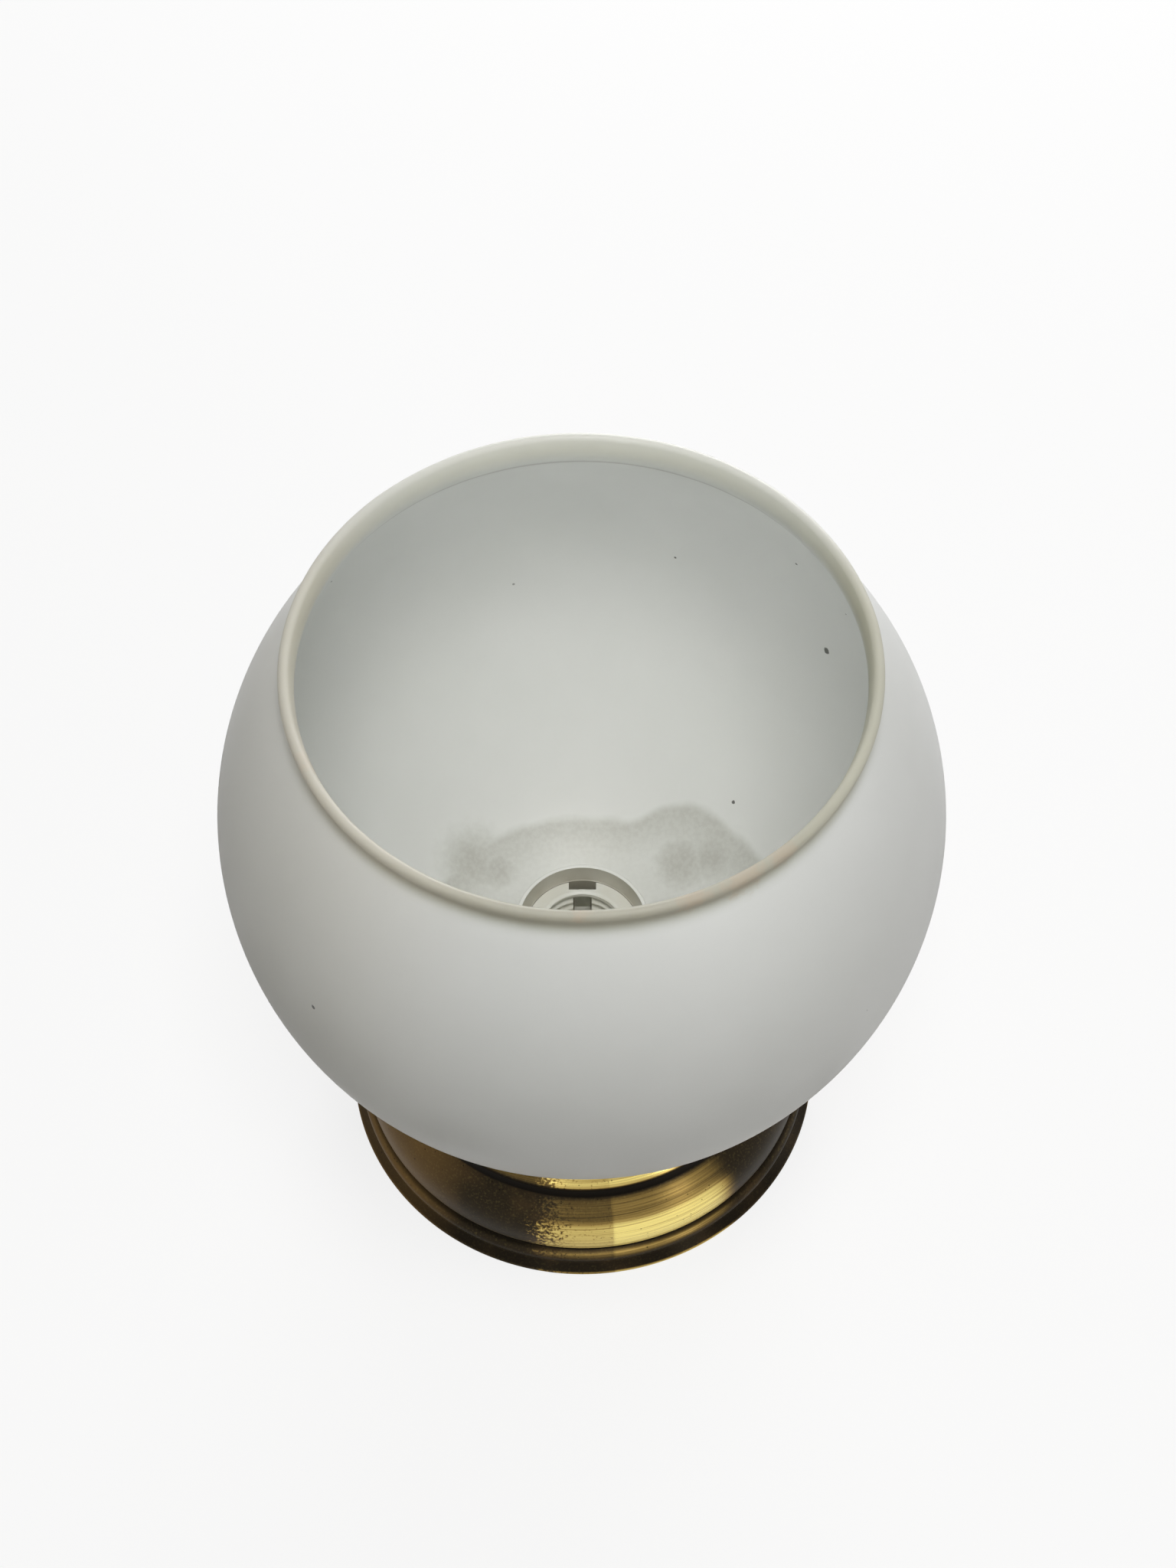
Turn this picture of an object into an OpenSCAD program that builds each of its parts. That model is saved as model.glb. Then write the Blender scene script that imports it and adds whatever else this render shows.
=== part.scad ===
// Ceiling lamp: opal glass globe on a spun brass canopy, with a screw lampholder inside.
// It stands on the canopy's base plane (z = 0, the face that meets the ceiling), with the
// globe's open mouth up. The z axis is the axis of the canopy, the lampholder and the globe.

/* [Glass globe] */
// Outer diameter of the globe
globe_d = 200; // [180:1:220]
// Thickness of the glass
glass_t = 3; // [2.4:0.1:3.6]
// Radius on the globe where the lip starts to turn up
lip_start_r = 77; // [70:0.5:80]
// Radius of the bend between globe and lip
lip_bend_r = 5; // [4:0.5:7]
// Height of the straight part of the lip
lip_straight = 2.2; // [1:0.1:4]
// Angle by which the lip flares from the vertical
lip_flare = 15; // [5:1:25]
// Diameter of the fitter hole around the lampholder
fitter_hole_d = 42; // [41.6:0.1:43]

/* [Canopy] */
// Diameter of the canopy at its foot
canopy_d = 150; // [145:1:160]
// Height of the canopy
canopy_h = 45; // [44:0.5:50]
// Thickness of the spun sheet
sheet_t = 0.9; // [0.7:0.05:1.1]
// Width of the flat hem that meets the ceiling
hem_w = 2.4; // [2:0.1:3]
// Radius of the rolled edge at the foot
foot_roll_r = 0.7; // [0.5:0.05:0.9]
// Radius of the bead above the foot
bead_r = 2.5; // [2.2:0.1:2.8]
// Radius of the domed lower tier
dome_r = 17.8; // [16:0.2:18.4]
// Height at which the domed tier is widest
dome_z = 14; // [13.4:0.2:15]
// How far the widest place of the dome lies inside the foot
dome_inset = 4; // [3.4:0.1:5]
// Height of the dark step between the tiers
step_h = 3.4; // [2.6:0.1:4.4]
// Radius of the flat top under the cup
top_flat_r = 33; // [31:0.5:38]

/* [Cup and gaskets] */
// Radius of the dished cup that carries the glass
cup_r = 31; // [28:0.5:34]
// Thickness of the cup
cup_t = 1.2; // [1:0.1:1.6]
// Radius of the flat floor of the cup
cup_floor_r = 12; // [10:0.5:14]
// Thickness of the rubber ring under the glass
seat_gasket_t = 1.7; // [1.2:0.1:2.4]
// Thickness of the rubber ring above the glass at its outer edge
top_gasket_t = 1.35; // [1:0.05:2]
// Width of the rubber ring under the glass
gasket_w = 6; // [4:0.5:7]

/* [Lampholder] */
// Height of the lampholder
holder_h = 43.3; // [42.5:0.1:50]
// Outside diameter of the sleeve over its thread
sleeve_d = 40; // [39.4:0.1:40.2]
// Thickness of the sleeve's wall
sleeve_wall = 2.7; // [2.4:0.1:2.8]
// Pitch of the sleeve's thread
sleeve_pitch = 2.5; // [2:0.1:3]
// Depth of the sleeve's thread
sleeve_thread_t = 0.7; // [0.4:0.05:0.8]
// Turns of thread on the sleeve
sleeve_turns = 8; // [5:1:10]
// Depth of the recess above the insert
recess_h = 5; // [4:0.1:6]
// Major diameter of the lamp thread
lamp_thread_d = 26.6; // [26.4:0.1:27]
// Minor diameter of the lamp thread
lamp_bore_d = 24.4; // [24.2:0.1:24.8]
// Pitch of the lamp thread
lamp_pitch = 3.6; // [3.4:0.1:3.8]
// Width of the notch for the side contact
notch_w = 8.3; // [6:0.1:10]
// Travel of the sprung centre contact
contact_travel = 2; // [1:0.1:2.4]

/* [Clamping ring] */
// Outer diameter of the clamping ring's flange
ring_flange_d = 55; // [52:0.5:60]
// Height of the clamping ring
ring_h = 7; // [6:0.5:10]
// Thickness of the clamping ring's flange
ring_flange_t = 2; // [1.5:0.1:3]
// Number of grip ribs on the clamping ring
ring_ribs = 24; // [12:4:36]
// Thickness of the slip washer under the ring
slip_washer_t = 0.5; // [0.3:0.1:0.8]

/* [Nipple and nut] */
// Outside diameter of the threaded nipple
nipple_d = 10; // [9.6:0.1:10.2]
// Bore of the nipple
nipple_bore_d = 8; // [7.4:0.1:8.2]
// Length of the nipple under the canopy's top plate
nipple_tail = 16; // [13:0.5:18]
// Width across flats of the nut
nut_af = 14; // [13:0.5:17]
// Thickness of the nut
nut_t = 4; // [3:0.5:5]

/* [Mounting bracket] */
// Width of the bracket strip
bracket_w = 18; // [16:1:22]
// Thickness of the bracket strip
bracket_t = 1.5; // [1.2:0.1:2]
// Height of the bracket's end tabs
tab_h = 21; // [20:0.5:24]
// Distance between the two ceiling slots
slot_spacing = 80; // [76:1:86]
// Length of each ceiling slot
slot_l = 22; // [12:1:24]
// Width of each ceiling slot
slot_w = 5.2; // [4.6:0.1:6]
// Height of the side screws above the base
side_screw_z = 16; // [15:0.5:17]
// Diameter of the side screws
side_screw_d = 3.9; // [3:0.1:4]
// Diameter of the side screws' knurled heads
side_head_d = 9; // [8:0.5:11]
// Length of the side screws' knurled heads
side_head_l = 5; // [4:0.5:7]

/* [Terminal block and leads] */
// Distance between the ways of the terminal block
way_pitch = 10; // [9.6:0.2:11]
// Diameter of each barrel of the block
barrel_d = 8.2; // [7.6:0.1:8.4]
// Length of the block along the leads
block_l = 17; // [14:0.5:18]
// Diameter of the brass sleeves
brass_sleeve_d = 5; // [4.6:0.1:5.2]
// Bore of the brass sleeves
brass_bore_d = 3.2; // [2.9:0.1:3.4]
// Outside diameter of the insulated leads
lead_d = 2.2; // [1.8:0.1:2.4]

/* [Hidden] */
$fn = 96;

// Clearances
running_gap = 0.05;     // radial, between parts that turn or slide in each other
seat_gap = 0.1;         // radial, between parts that are fixed in each other
rest_gap = 0.3;         // between curved faces of the glass and what it rests on
face_gap = 0.05;        // between flat faces of parts that move apart
hole_gap = 0.35;        // radial, of a screw's free hole
tie = 0.01;             // overlap where two shapes of one piece meet
over = 1;               // how far a cutting shape runs past what it cuts

// Canopy profile, from the foot up
foot_r = canopy_d / 2;
hem_h = 0.7;
flare_h = 1.4;
dome_max_r = foot_r - dome_inset;
dome_cx = dome_max_r - dome_r;
dome_start = -10;
dome_end = 57;
bead_inset = 0.8;
bead_cx = dome_max_r - bead_inset;
bead_z = 5.6;
bead_start = -40;
bead_end = 75;
groove_inset = 1.1;
groove_r = dome_max_r - groove_inset;
groove_z = 9.2;
groove_h = 0.9;
groove_round = 0.2;
step_inset = 0.7;
step_rise = 0.4;
step_r = dome_cx + dome_r * cos(dome_end) - step_inset;
step_z = dome_z + dome_r * sin(dome_end) + step_rise;
step_taper = 0.6;
tier_edge = 1;
tier_r = step_r - step_taper - tier_edge;
tier_z = step_z + step_h + tier_edge;
step_share = 0.4;       // drop of the sheet's inner face at the step, as a share of its thickness
edge_share = 0.7;       // inward shift of the inner face at the tier's edge, as the same share
foot_roll_arc = 60;
top_hole_gap = 0.2;
top_hole_r = nipple_d / 2 + top_hole_gap;

// Heights from the base up
seat_z = canopy_h;
holder_z = seat_z + cup_t;
holder_top = holder_z + holder_h;

// Globe, centred so that the cup's dish is concentric with it
globe_r = globe_d / 2;
dish_r = globe_r + rest_gap + seat_gasket_t;
globe_z = holder_z + sqrt(pow(dish_r, 2) - pow(cup_floor_r, 2));
glass_in_r = globe_r - glass_t;
fitter_hole_r = fitter_hole_d / 2;
half_turn = 180;
lip_start_h = sqrt(pow(globe_r, 2) - pow(lip_start_r, 2));
lip_turn = asin(lip_start_h / globe_r);
lip_cx = lip_start_r * (globe_r + lip_bend_r) / globe_r;
lip_cz = globe_z + lip_start_h * (globe_r + lip_bend_r) / globe_r;

// Sleeve and cap of the lampholder, with heights above the holder's foot
cap_floor_h = 7.2;
cap_rim_h = 7.4;
nipple_reach = 8.4;
sleeve_foot_h = 9;
spigot_h = 15;
cap_rim_inset = 0.6;
spigot_wall = 1.6;
sleeve_r = sleeve_d / 2;
sleeve_bore_r = sleeve_r - sleeve_wall;
sleeve_foot_z = holder_z + sleeve_foot_h;
sleeve_rim_t = 0.9;
sleeve_edge = 0.4;
sleeve_ledge = 0.3;
thread_flat = 0.15;
first_turn = 0.7;       // height of the first thread groove above the sleeve's foot, in pitches
spigot_r = sleeve_bore_r - seat_gap;
cavity_r = spigot_r - spigot_wall;
boss_r = 8;
boss_h = 4.4;
cap_rim_r = sleeve_r - cap_rim_inset;
cap_rim_z = holder_z + cap_rim_h;
cap_floor_z = holder_z + cap_floor_h;
cap_slope = 2;
spigot_top = holder_z + spigot_h;
grub_r = 1.45;
grub_z = holder_z + boss_h / 2;

// Insert with the lamp thread
base_z = spigot_top + rest_gap;
base_t = 4.6;
insert_z = base_z + base_t + seat_gap;
insert_top = holder_top - recess_h;
insert_r = sleeve_bore_r - seat_gap;
lamp_bore_r = lamp_bore_d / 2;
lamp_major_r = lamp_thread_d / 2;
bore_l = 12.5;
bore_foot_z = insert_top - bore_l;
lip_ring_w = 0.6;
lip_ring_r = lamp_major_r + lip_ring_w;
lip_ring_h = 0.6;
thread_groove_r = 1;
thread_grooves = 3;
first_groove = 2;       // depth of the first lamp thread groove below the insert's top
notch_depth = 14;
notch_step = 0.15;
notch_in_r = lip_ring_r + notch_step;

// Centre contact
pocket_floor_t = 0.9;
pocket_z = base_z + pocket_floor_t;
pin_r = 2.4;
pin_nose_r = 1.2;
pin_nose_l = 0.6;
pin_head_r = 3.4;
pin_head_t = 1;
pin_bevel = 0.8;
pin_depth = 12.6;
pin_top = insert_top - pin_depth;
spring_wire_r = 0.15;
spring_r = 2.9;
spring_coils = 3;
spring_solid_h = 2 * spring_wire_r * (spring_coils + 1);
pin_head_z = pocket_z + contact_travel + spring_solid_h;

// Side contact
tongue_w = 5;
tongue_t = 0.5;
tongue_inset = 1.8;
tongue_proud = 0.1;
tongue_depth = 7;
tongue_r = insert_r - tongue_inset;
tongue_tip_r = lamp_bore_r + tongue_proud;
tongue_tip_z = insert_top - tongue_depth;
tongue_bend = 5;        // height of the slanted stretch below the tip
tongue_rise = 4;        // height of the upper end above the tip
tongue_lean = 1;        // how far the upper end lies inside the foot's line
tongue_foot_h = 1.2;
tongue_foot_z = base_z + tongue_foot_h;
tongue_slot_t = 1.3;
tongue_side_gap = 0.3;
window_w = tongue_w + 2 * tongue_side_gap;
window_top = tongue_tip_z + tongue_rise + 0.2;

// Terminals of the lampholder
post_x = 10.3;
post_w = 6;
post_h = 5.2;
post_bore_r = 1.5;
post_bore_h = 2.9;
post_z = base_z - post_h;
post_bore_z = post_z + post_bore_h;
post_screw_r = 1.4;
post_screw_head_r = 2.2;
post_screw_head_h = 1;
stud_r = 1.25;

// Gaskets and clamping ring
seat_gasket_inset = 1;
top_gasket_inset = 0.2;
ring_overhang = 0.3;
seat_gasket_in_r = fitter_hole_r + seat_gasket_inset;
gasket_in_r = fitter_hole_r + top_gasket_inset;
gasket_out_r = ring_flange_d / 2 - ring_overhang;
top_gasket_z = globe_z - sqrt(pow(glass_in_r - rest_gap, 2) - pow(gasket_out_r, 2)) + top_gasket_t;
washer_z = top_gasket_z + face_gap;
ring_z = washer_z + slip_washer_t + face_gap;
ring_bore_r = sleeve_r + running_gap;
ring_collar_t = 4;
ring_collar_r = sleeve_r + ring_collar_t;
ring_bevel = 0.8;
rib_r = 0.9;
rib_sink = 0.2;
rib_short = 1;

// Nipple group under the canopy's top plate
plate_z = canopy_h - sheet_t;
nipple_r = nipple_d / 2;
nipple_foot = plate_z - nipple_tail;
nipple_top = holder_z + nipple_reach;
lock_washer_t = 0.8;
lock_washer_w = 4.2;
lock_washer_r = nipple_r + lock_washer_w;
tooth_gap_w = 1;
tooth_gap_l = 0.8;
tooth_gaps = 12;
tag_t = 0.8;
tag_w = 3.4;
tag_r = nipple_r + tag_w;
tag_arm_w = 5;
tag_reach = 21;
tag_z = plate_z - lock_washer_t - tag_t;
nut_z = tag_z - nut_t;
bush_wall = 0.75;
bush_l = 4;
bush_collar_t = 1.25;
bush_collar_r = nipple_r + 0.4;

// Bracket, as long as the canopy's inside allows at the tabs' height
bracket_z = 0.4;
bracket_gap = 1;
bracket_bend_r = 2.5;
bend_steps = 6;
dome_reach = dome_cx + sqrt(pow(dome_r - sheet_t, 2) - pow(tab_h - dome_z, 2));
tab_reach = min(groove_r - sheet_t, dome_reach) - bracket_gap;
bracket_x = sqrt(pow(tab_reach, 2) - pow(bracket_w / 2, 2));
deck_z = bracket_z + bracket_t;
screw_tip_z = bracket_z - face_gap;

// Side screws
side_screw_r = side_screw_d / 2;
side_washer_t = 0.8;
side_washer_rim = 0.4;
side_washer_x = dome_max_r + rest_gap;
side_head_x = side_washer_x + side_washer_t + face_gap;
side_tip_l = 3;
side_tip_x = bracket_x - bracket_t - side_tip_l;
knurls = 24;
knurl_w = 0.6;
knurl_margin = 0.8;
coin_slot_w = 1;

// Terminal block
ways = [-1, 0, 1];
ends = [-1, 1];
block_z = deck_z + face_gap;
barrel_z = deck_z + barrel_d / 2;
block_screw_x = way_pitch / 2;
block_screw_r = 1.2;
block_head_r = 1.7;
block_head_h = 1.6;
block_head_rise = 3;
block_head_z = deck_z + block_head_rise;
tower_r = 3;
tower_h = 7;
clamp_inset = 4.2;
clamp_y = block_l / 2 - clamp_inset;
clamp_r = 1.5;
clamp_well_r = 1.9;
clamp_head_depth = 2;
clamp_head_z = barrel_z + tower_h - clamp_head_depth;
sleeve_short = 0.5;     // how far the brass sleeves end inside the block
sleeve_web = 1.4;       // brass left between the two bores of a sleeve
driver_slot_w = 0.5;

// Earth terminal
earth_gap = 7;
earth_x = way_pitch + barrel_d / 2 + earth_gap;
earth_screw_r = 1.95;
earth_head_r = 3.6;
earth_head_h = 2.2;
earth_washer_r = 4.2;
earth_washer_t = 1;

// Leads
lead_r = lead_d / 2;
lead_gap = 1.7;         // distance of the two leads from the nipple's axis
lead_sides = 8;
lead_end_y = 3.2;       // where a lead ends in its brass sleeve
lead_straight = 2;      // how far a lead runs straight out of the block
lead_swing = 7;         // how far the leads swing out past the block
lead_climb = nipple_foot - barrel_z;
earth_climb = tag_z - barrel_z;

// Points on an arc from angle a0 to a1, n steps
function arc(cx, cz, r, a0, a1, n) =
    [for (i = [0:n]) let (a = a0 + (a1 - a0) * i / n) [cx + r * cos(a), cz + r * sin(a)]];

// Radius of the arc that leaves (r1, z1) and ends level at radius r0 and height z0
function tier_arc_r(r1, z1, r0, z0) = (pow(r1 - r0, 2) + pow(z0 - z1, 2)) / (2 * (z0 - z1));

// Canopy line at a depth below the sheet's outer face: 0 outside, sheet_t inside
function canopy_line(d) = let (
        r1 = tier_r - d * edge_share,
        z1 = tier_z - d * edge_share,
        z0 = canopy_h - d,
        tr = tier_arc_r(r1, z1, top_flat_r, z0),
        a1 = acos((r1 - top_flat_r) / tr)
    ) concat(
        arc(bead_cx, bead_z, bead_r - d, bead_start, bead_end, 8),
        [[groove_r - d, groove_z - groove_h], [groove_r - groove_round - d, groove_z],
            [groove_r + groove_round / 2 - d, groove_z + groove_h]],
        arc(dome_cx, dome_z, dome_r - d, dome_start, dome_end, 14),
        [[step_r - d, step_z - d * step_share], [step_r - step_taper - d, step_z + step_h - d * step_share]],
        arc(top_flat_r, z0 - tr, tr, a1, 90, 12),
        [[top_hole_r, z0]]
    );

function reversed(p) = [for (i = [len(p) - 1:-1:0]) p[i]];

// Smooth curve through the points p, n steps between each two
function smooth(p, n) = concat([for (i = [0:len(p) - 2]) for (k = [0:n - 1]) let (
        t = k / n,
        a = p[max(i - 1, 0)],
        b = p[i],
        c = p[i + 1],
        d = p[min(i + 2, len(p) - 1)],
        e = 2 * a - 5 * b + 4 * c - d,
        f = 3 * b - a - 3 * c + d
    ) 0.5 * (2 * b + (c - a) * t + e * t * t + f * t * t * t)],
    [p[len(p) - 1]]);

function unit(v) = v / norm(v);

// Direction of the curve p at each point
function directions(p) = [for (i = [0:len(p) - 1]) unit(p[min(i + 1, len(p) - 1)] - p[max(i - 1, 0)])];

// Side directions carried along the curve without twist
function sides(t, i = 0, last = [1, 0, 0], out = []) =
    i == len(t) ? out : let (m = unit(last - (last * t[i]) * t[i])) sides(t, i + 1, m, concat(out, [m]));

// Round wire of radius r along the curve p
module tube_along(p, r) {
    n = lead_sides;
    t = directions(p);
    m = sides(t);
    pts = [for (k = [0:len(p) - 1]) for (j = [0:n - 1])
        p[k] + r * (cos(j * 360 / n) * m[k] + sin(j * 360 / n) * cross(t[k], m[k]))];
    walls = [for (k = [0:len(p) - 2]) for (j = [0:n - 1]) let (
            a = k * n + j,
            b = k * n + (j + 1) % n
        ) each [[a, a + n, b + n], [a, b + n, b]]];
    polyhedron(pts, concat(walls, [[for (j = [0:n - 1]) j]],
        [[for (j = [n - 1:-1:0]) (len(p) - 1) * n + j]]));
}

// Ring between two radii
module ring(r_out, r_in, z, h) {
    translate([0, 0, z]) difference() {
        cylinder(r = r_out, h = h);
        translate([0, 0, -over]) cylinder(r = r_in, h = h + 2 * over);
    }
}

// Slotted screw pointing down: shank from z = -l to 0, head from 0 to head_h
module slotted_screw(r, l, head_r, head_h) {
    slot = head_r * 0.22;
    slot_z = head_h * 0.45;
    difference() {
        union() {
            translate([0, 0, -l]) cylinder(r = r, h = l + tie, $fn = 32);
            cylinder(r = head_r, h = head_h, $fn = 32);
        }
        translate([-head_r - over, -slot / 2, slot_z]) cube([2 * (head_r + over), slot, head_h]);
    }
}

module glass_shade() {
    start = half_turn + lip_turn;
    stop = half_turn - lip_flare;
    rise = lip_straight * [sin(lip_flare), cos(lip_flare)];
    rim = [lip_cx, lip_cz] + (lip_bend_r + glass_t / 2) * [cos(stop), sin(stop)] + rise;
    // The lip's section starts at a point inside the globe's wall, so that the two are one body
    root_turn = lip_turn - 1;
    root = [0, globe_z] + (globe_r - glass_t / 2) * [cos(root_turn), sin(root_turn)];
    outside = globe_r + over;
    color("whitesmoke", 0.8) rotate_extrude() union() {
        intersection() {
            translate([0, globe_z]) difference() {
                circle(r = globe_r, $fn = 180);
                circle(r = glass_in_r, $fn = 180);
            }
            polygon([[fitter_hole_r, globe_z - outside], [outside, globe_z - outside], [outside, globe_z],
                [outside, globe_z + outside * tan(lip_turn)], [tie, globe_z],
                [fitter_hole_r, globe_z - fitter_hole_r]]);
        }
        polygon(concat([root], arc(lip_cx, lip_cz, lip_bend_r, start, stop, 10),
            arc(rim[0], rim[1], glass_t / 2, -lip_flare, stop, 10),
            arc(lip_cx, lip_cz, lip_bend_r + glass_t, stop, start, 10)));
    }
}

module canopy() {
    foot = [[foot_r - hem_w, 0], [foot_r - foot_roll_r, 0]];
    roll = arc(foot_r - foot_roll_r, foot_roll_r, foot_roll_r, -foot_roll_arc, foot_roll_arc, 5);
    hem = [[foot_r - hem_w - seat_gap, flare_h], [foot_r - hem_w, hem_h]];
    color("#8a6a26") difference() {
        rotate_extrude() polygon(concat(foot, roll, canopy_line(0), reversed(canopy_line(sheet_t)), hem));
        for (side = ends) translate([side * foot_r, 0, side_screw_z]) rotate([0, 90, 0])
            cylinder(r = side_screw_r + hole_gap, h = dome_r, center = true);
    }
}

module holder_skirt() {
    t = sleeve_thread_t;
    color("white") difference() {
        rotate_extrude() polygon([[sleeve_bore_r, sleeve_foot_z], [sleeve_r, sleeve_foot_z],
            [sleeve_r, holder_top - sleeve_edge], [sleeve_r - sleeve_edge, holder_top],
            [sleeve_r - sleeve_rim_t, holder_top], [sleeve_bore_r + sleeve_ledge, insert_top],
            [sleeve_bore_r, insert_top]]);
        for (i = [0:sleeve_turns - 1])
            translate([0, 0, sleeve_foot_z + sleeve_pitch * (i + first_turn)]) rotate_extrude()
                polygon([[sleeve_r + tie, -t], [sleeve_r + tie, t], [sleeve_r - t, thread_flat],
                    [sleeve_r - t, -thread_flat]]);
    }
}

module thread_insert() {
    notch_foot = insert_top - notch_depth;
    color("ivory") difference() {
        union() {
            ring(insert_r, lamp_bore_r, insert_z, insert_top - insert_z);
            ring(lip_ring_r, lamp_bore_r, insert_top - tie, lip_ring_h);
        }
        translate([0, 0, insert_z - over]) cylinder(r = lamp_major_r, h = bore_foot_z - insert_z + over);
        for (i = [0:thread_grooves - 1])
            translate([0, 0, insert_top - first_groove - lamp_pitch * i]) rotate_extrude()
                translate([lamp_major_r - thread_groove_r, 0]) circle(r = thread_groove_r, $fn = 32);
        translate([-notch_w / 2, notch_in_r, notch_foot]) cube([notch_w, insert_r, notch_depth + over]);
        translate([-window_w / 2, lamp_bore_r - over, insert_z - over])
            cube([window_w, insert_r, notch_foot - insert_z + 2 * over]);
        translate([-window_w / 2, lamp_bore_r - over, notch_foot])
            cube([window_w, notch_in_r - lamp_bore_r + 2 * over, window_top - notch_foot]);
    }
}

module shade_seat() {
    dish_top = globe_z;
    color("#8a6a26") rotate_extrude() difference() {
        union() {
            translate([top_hole_r, seat_z]) square([cup_floor_r - top_hole_r, cup_t]);
            intersection() {
                translate([0, globe_z]) difference() {
                    circle(r = dish_r + cup_t, $fn = 180);
                    circle(r = dish_r, $fn = 180);
                }
                translate([cup_floor_r, seat_z - over]) square([cup_r - cup_floor_r, dish_top - seat_z]);
            }
        }
        translate([0, seat_z - cup_r]) square([cup_r, cup_r]);
    }
}

module shade_gasket() {
    color("#30302e") rotate_extrude() intersection() {
        translate([0, globe_z]) difference() {
            circle(r = dish_r - face_gap, $fn = 180);
            circle(r = globe_r + rest_gap, $fn = 180);
        }
        translate([seat_gasket_in_r, seat_z]) square([gasket_w, globe_r]);
    }
}

module clamp_gasket() {
    color("#30302e") rotate_extrude() intersection() {
        translate([gasket_in_r, top_gasket_z - globe_r]) square([gasket_out_r - gasket_in_r, globe_r]);
        translate([0, globe_z]) circle(r = glass_in_r - rest_gap, $fn = 180);
    }
}

module ring_washer() {
    color("#c8c2b4") ring(gasket_out_r, ring_bore_r + seat_gap, washer_z, slip_washer_t);
}

module shade_ring() {
    color("white") difference() {
        union() {
            ring(ring_flange_d / 2, ring_bore_r, ring_z, ring_flange_t);
            ring(ring_collar_r, ring_bore_r, ring_z, ring_h);
            for (i = [0:ring_ribs - 1]) rotate([0, 0, i * 360 / ring_ribs])
                translate([ring_collar_r - rib_sink, 0, ring_z])
                    cylinder(r = rib_r, h = ring_h - rib_short, $fn = 24);
        }
        translate([0, 0, ring_z + ring_h - ring_bevel])
            cylinder(r1 = ring_bore_r - tie, r2 = ring_bore_r + ring_bevel + tie, h = ring_bevel + tie);
    }
}

module holder_cap() {
    bore = nipple_r + running_gap;
    top = sleeve_foot_z - face_gap;
    color("white") difference() {
        rotate_extrude() polygon([[bore, holder_z], [boss_r, holder_z], [boss_r, holder_z + boss_h],
            [cap_rim_r, cap_rim_z], [cap_rim_r, top], [spigot_r, top], [spigot_r, spigot_top],
            [cavity_r, spigot_top], [cavity_r, cap_floor_z + cap_slope], [boss_r, cap_floor_z],
            [bore, cap_floor_z]]);
        translate([0, -boss_r - over, grub_z]) rotate([-90, 0, 0])
            cylinder(r = grub_r + running_gap, h = boss_r, $fn = 32);
    }
}

module cap_grub_screw() {
    tip = nipple_r + seat_gap;
    l = boss_r - tip - 0.2;
    color("silver") translate([0, -tip, grub_z]) rotate([90, 0, 0]) difference() {
        cylinder(r = grub_r, h = l, $fn = 32);
        translate([-grub_r - over, -driver_slot_w / 2, l - 0.8])
            cube([2 * (grub_r + over), driver_slot_w, over]);
    }
}

module contact_base() {
    color("#f2efe6") difference() {
        translate([0, 0, base_z]) cylinder(r = insert_r - seat_gap, h = base_t);
        translate([0, 0, pocket_z]) cylinder(r = pin_head_r + running_gap, h = base_t);
        translate([0, 0, base_z - over]) cylinder(r = pin_nose_r + rest_gap, h = base_t);
        translate([-window_w / 2, tongue_r - tongue_slot_t / 2, tongue_foot_z])
            cube([window_w, tongue_slot_t, base_t]);
        for (side = ends) translate([side * post_x, 0, base_z - over])
            cylinder(r = stud_r + running_gap, h = base_t + 2 * over, $fn = 32);
    }
}

module contact_pin() {
    color("#c9a03c") rotate_extrude() polygon([[0, pin_head_z - pin_nose_l],
        [pin_nose_r, pin_head_z - pin_nose_l], [pin_nose_r, pin_head_z], [pin_head_r, pin_head_z],
        [pin_head_r, pin_head_z + pin_head_t], [pin_r, pin_head_z + pin_head_t],
        [pin_r, pin_top - pin_bevel], [pin_r - pin_bevel, pin_top], [0, pin_top]]);
}

module contact_spring() {
    steps = 16 * spring_coils;
    foot = pocket_z + spring_wire_r + face_gap;
    rise = pin_head_z - pocket_z - 2 * (spring_wire_r + face_gap);
    color("silver") tube_along([for (i = [0:steps]) let (a = 360 * spring_coils * i / steps)
        [spring_r * cos(a), spring_r * sin(a), foot + rise * i / steps]], spring_wire_r);
}

module side_contact() {
    out = tongue_r + tongue_t / 2;
    in = tongue_r - tongue_t / 2;
    foot = tongue_foot_z + face_gap;
    bend = tongue_tip_z - tongue_bend;
    top = tongue_tip_z + tongue_rise;
    color("#c9a03c") translate([-tongue_w / 2, 0, 0]) rotate([90, 0, 90]) linear_extrude(tongue_w) polygon([
        [in, foot], [out, foot], [out, bend], [tongue_tip_r + tongue_t, tongue_tip_z],
        [out - tongue_lean, top], [in - tongue_lean, top], [tongue_tip_r, tongue_tip_z], [in, bend]]);
}

module holder_terminals() {
    color("#c9a03c") for (side = ends) translate([side * post_x, 0, 0]) difference() {
        union() {
            translate([-post_w / 2, -post_w / 2, post_z]) cube([post_w, post_w, post_h - face_gap]);
            translate([0, 0, base_z - over]) cylinder(r = stud_r, h = base_t + over - seat_gap, $fn = 32);
        }
        translate([0, 0, post_bore_z]) rotate([0, 90, 0])
            cylinder(r = post_bore_r, h = post_w + 2 * over, center = true, $fn = 32);
        translate([0, 0, post_z - over])
            cylinder(r = post_screw_r + running_gap, h = post_bore_z - post_z, $fn = 32);
    }
}

module holder_terminal_screws() {
    color("silver") for (side = ends) translate([side * post_x, 0, post_z - seat_gap]) rotate([180, 0, 0])
        slotted_screw(post_screw_r, post_bore_z - lead_r - post_z, post_screw_head_r, post_screw_head_h);
}

module threaded_nipple() {
    color("#b9b4a4") ring(nipple_r, nipple_bore_d / 2, nipple_foot, nipple_top - nipple_foot);
}

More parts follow.
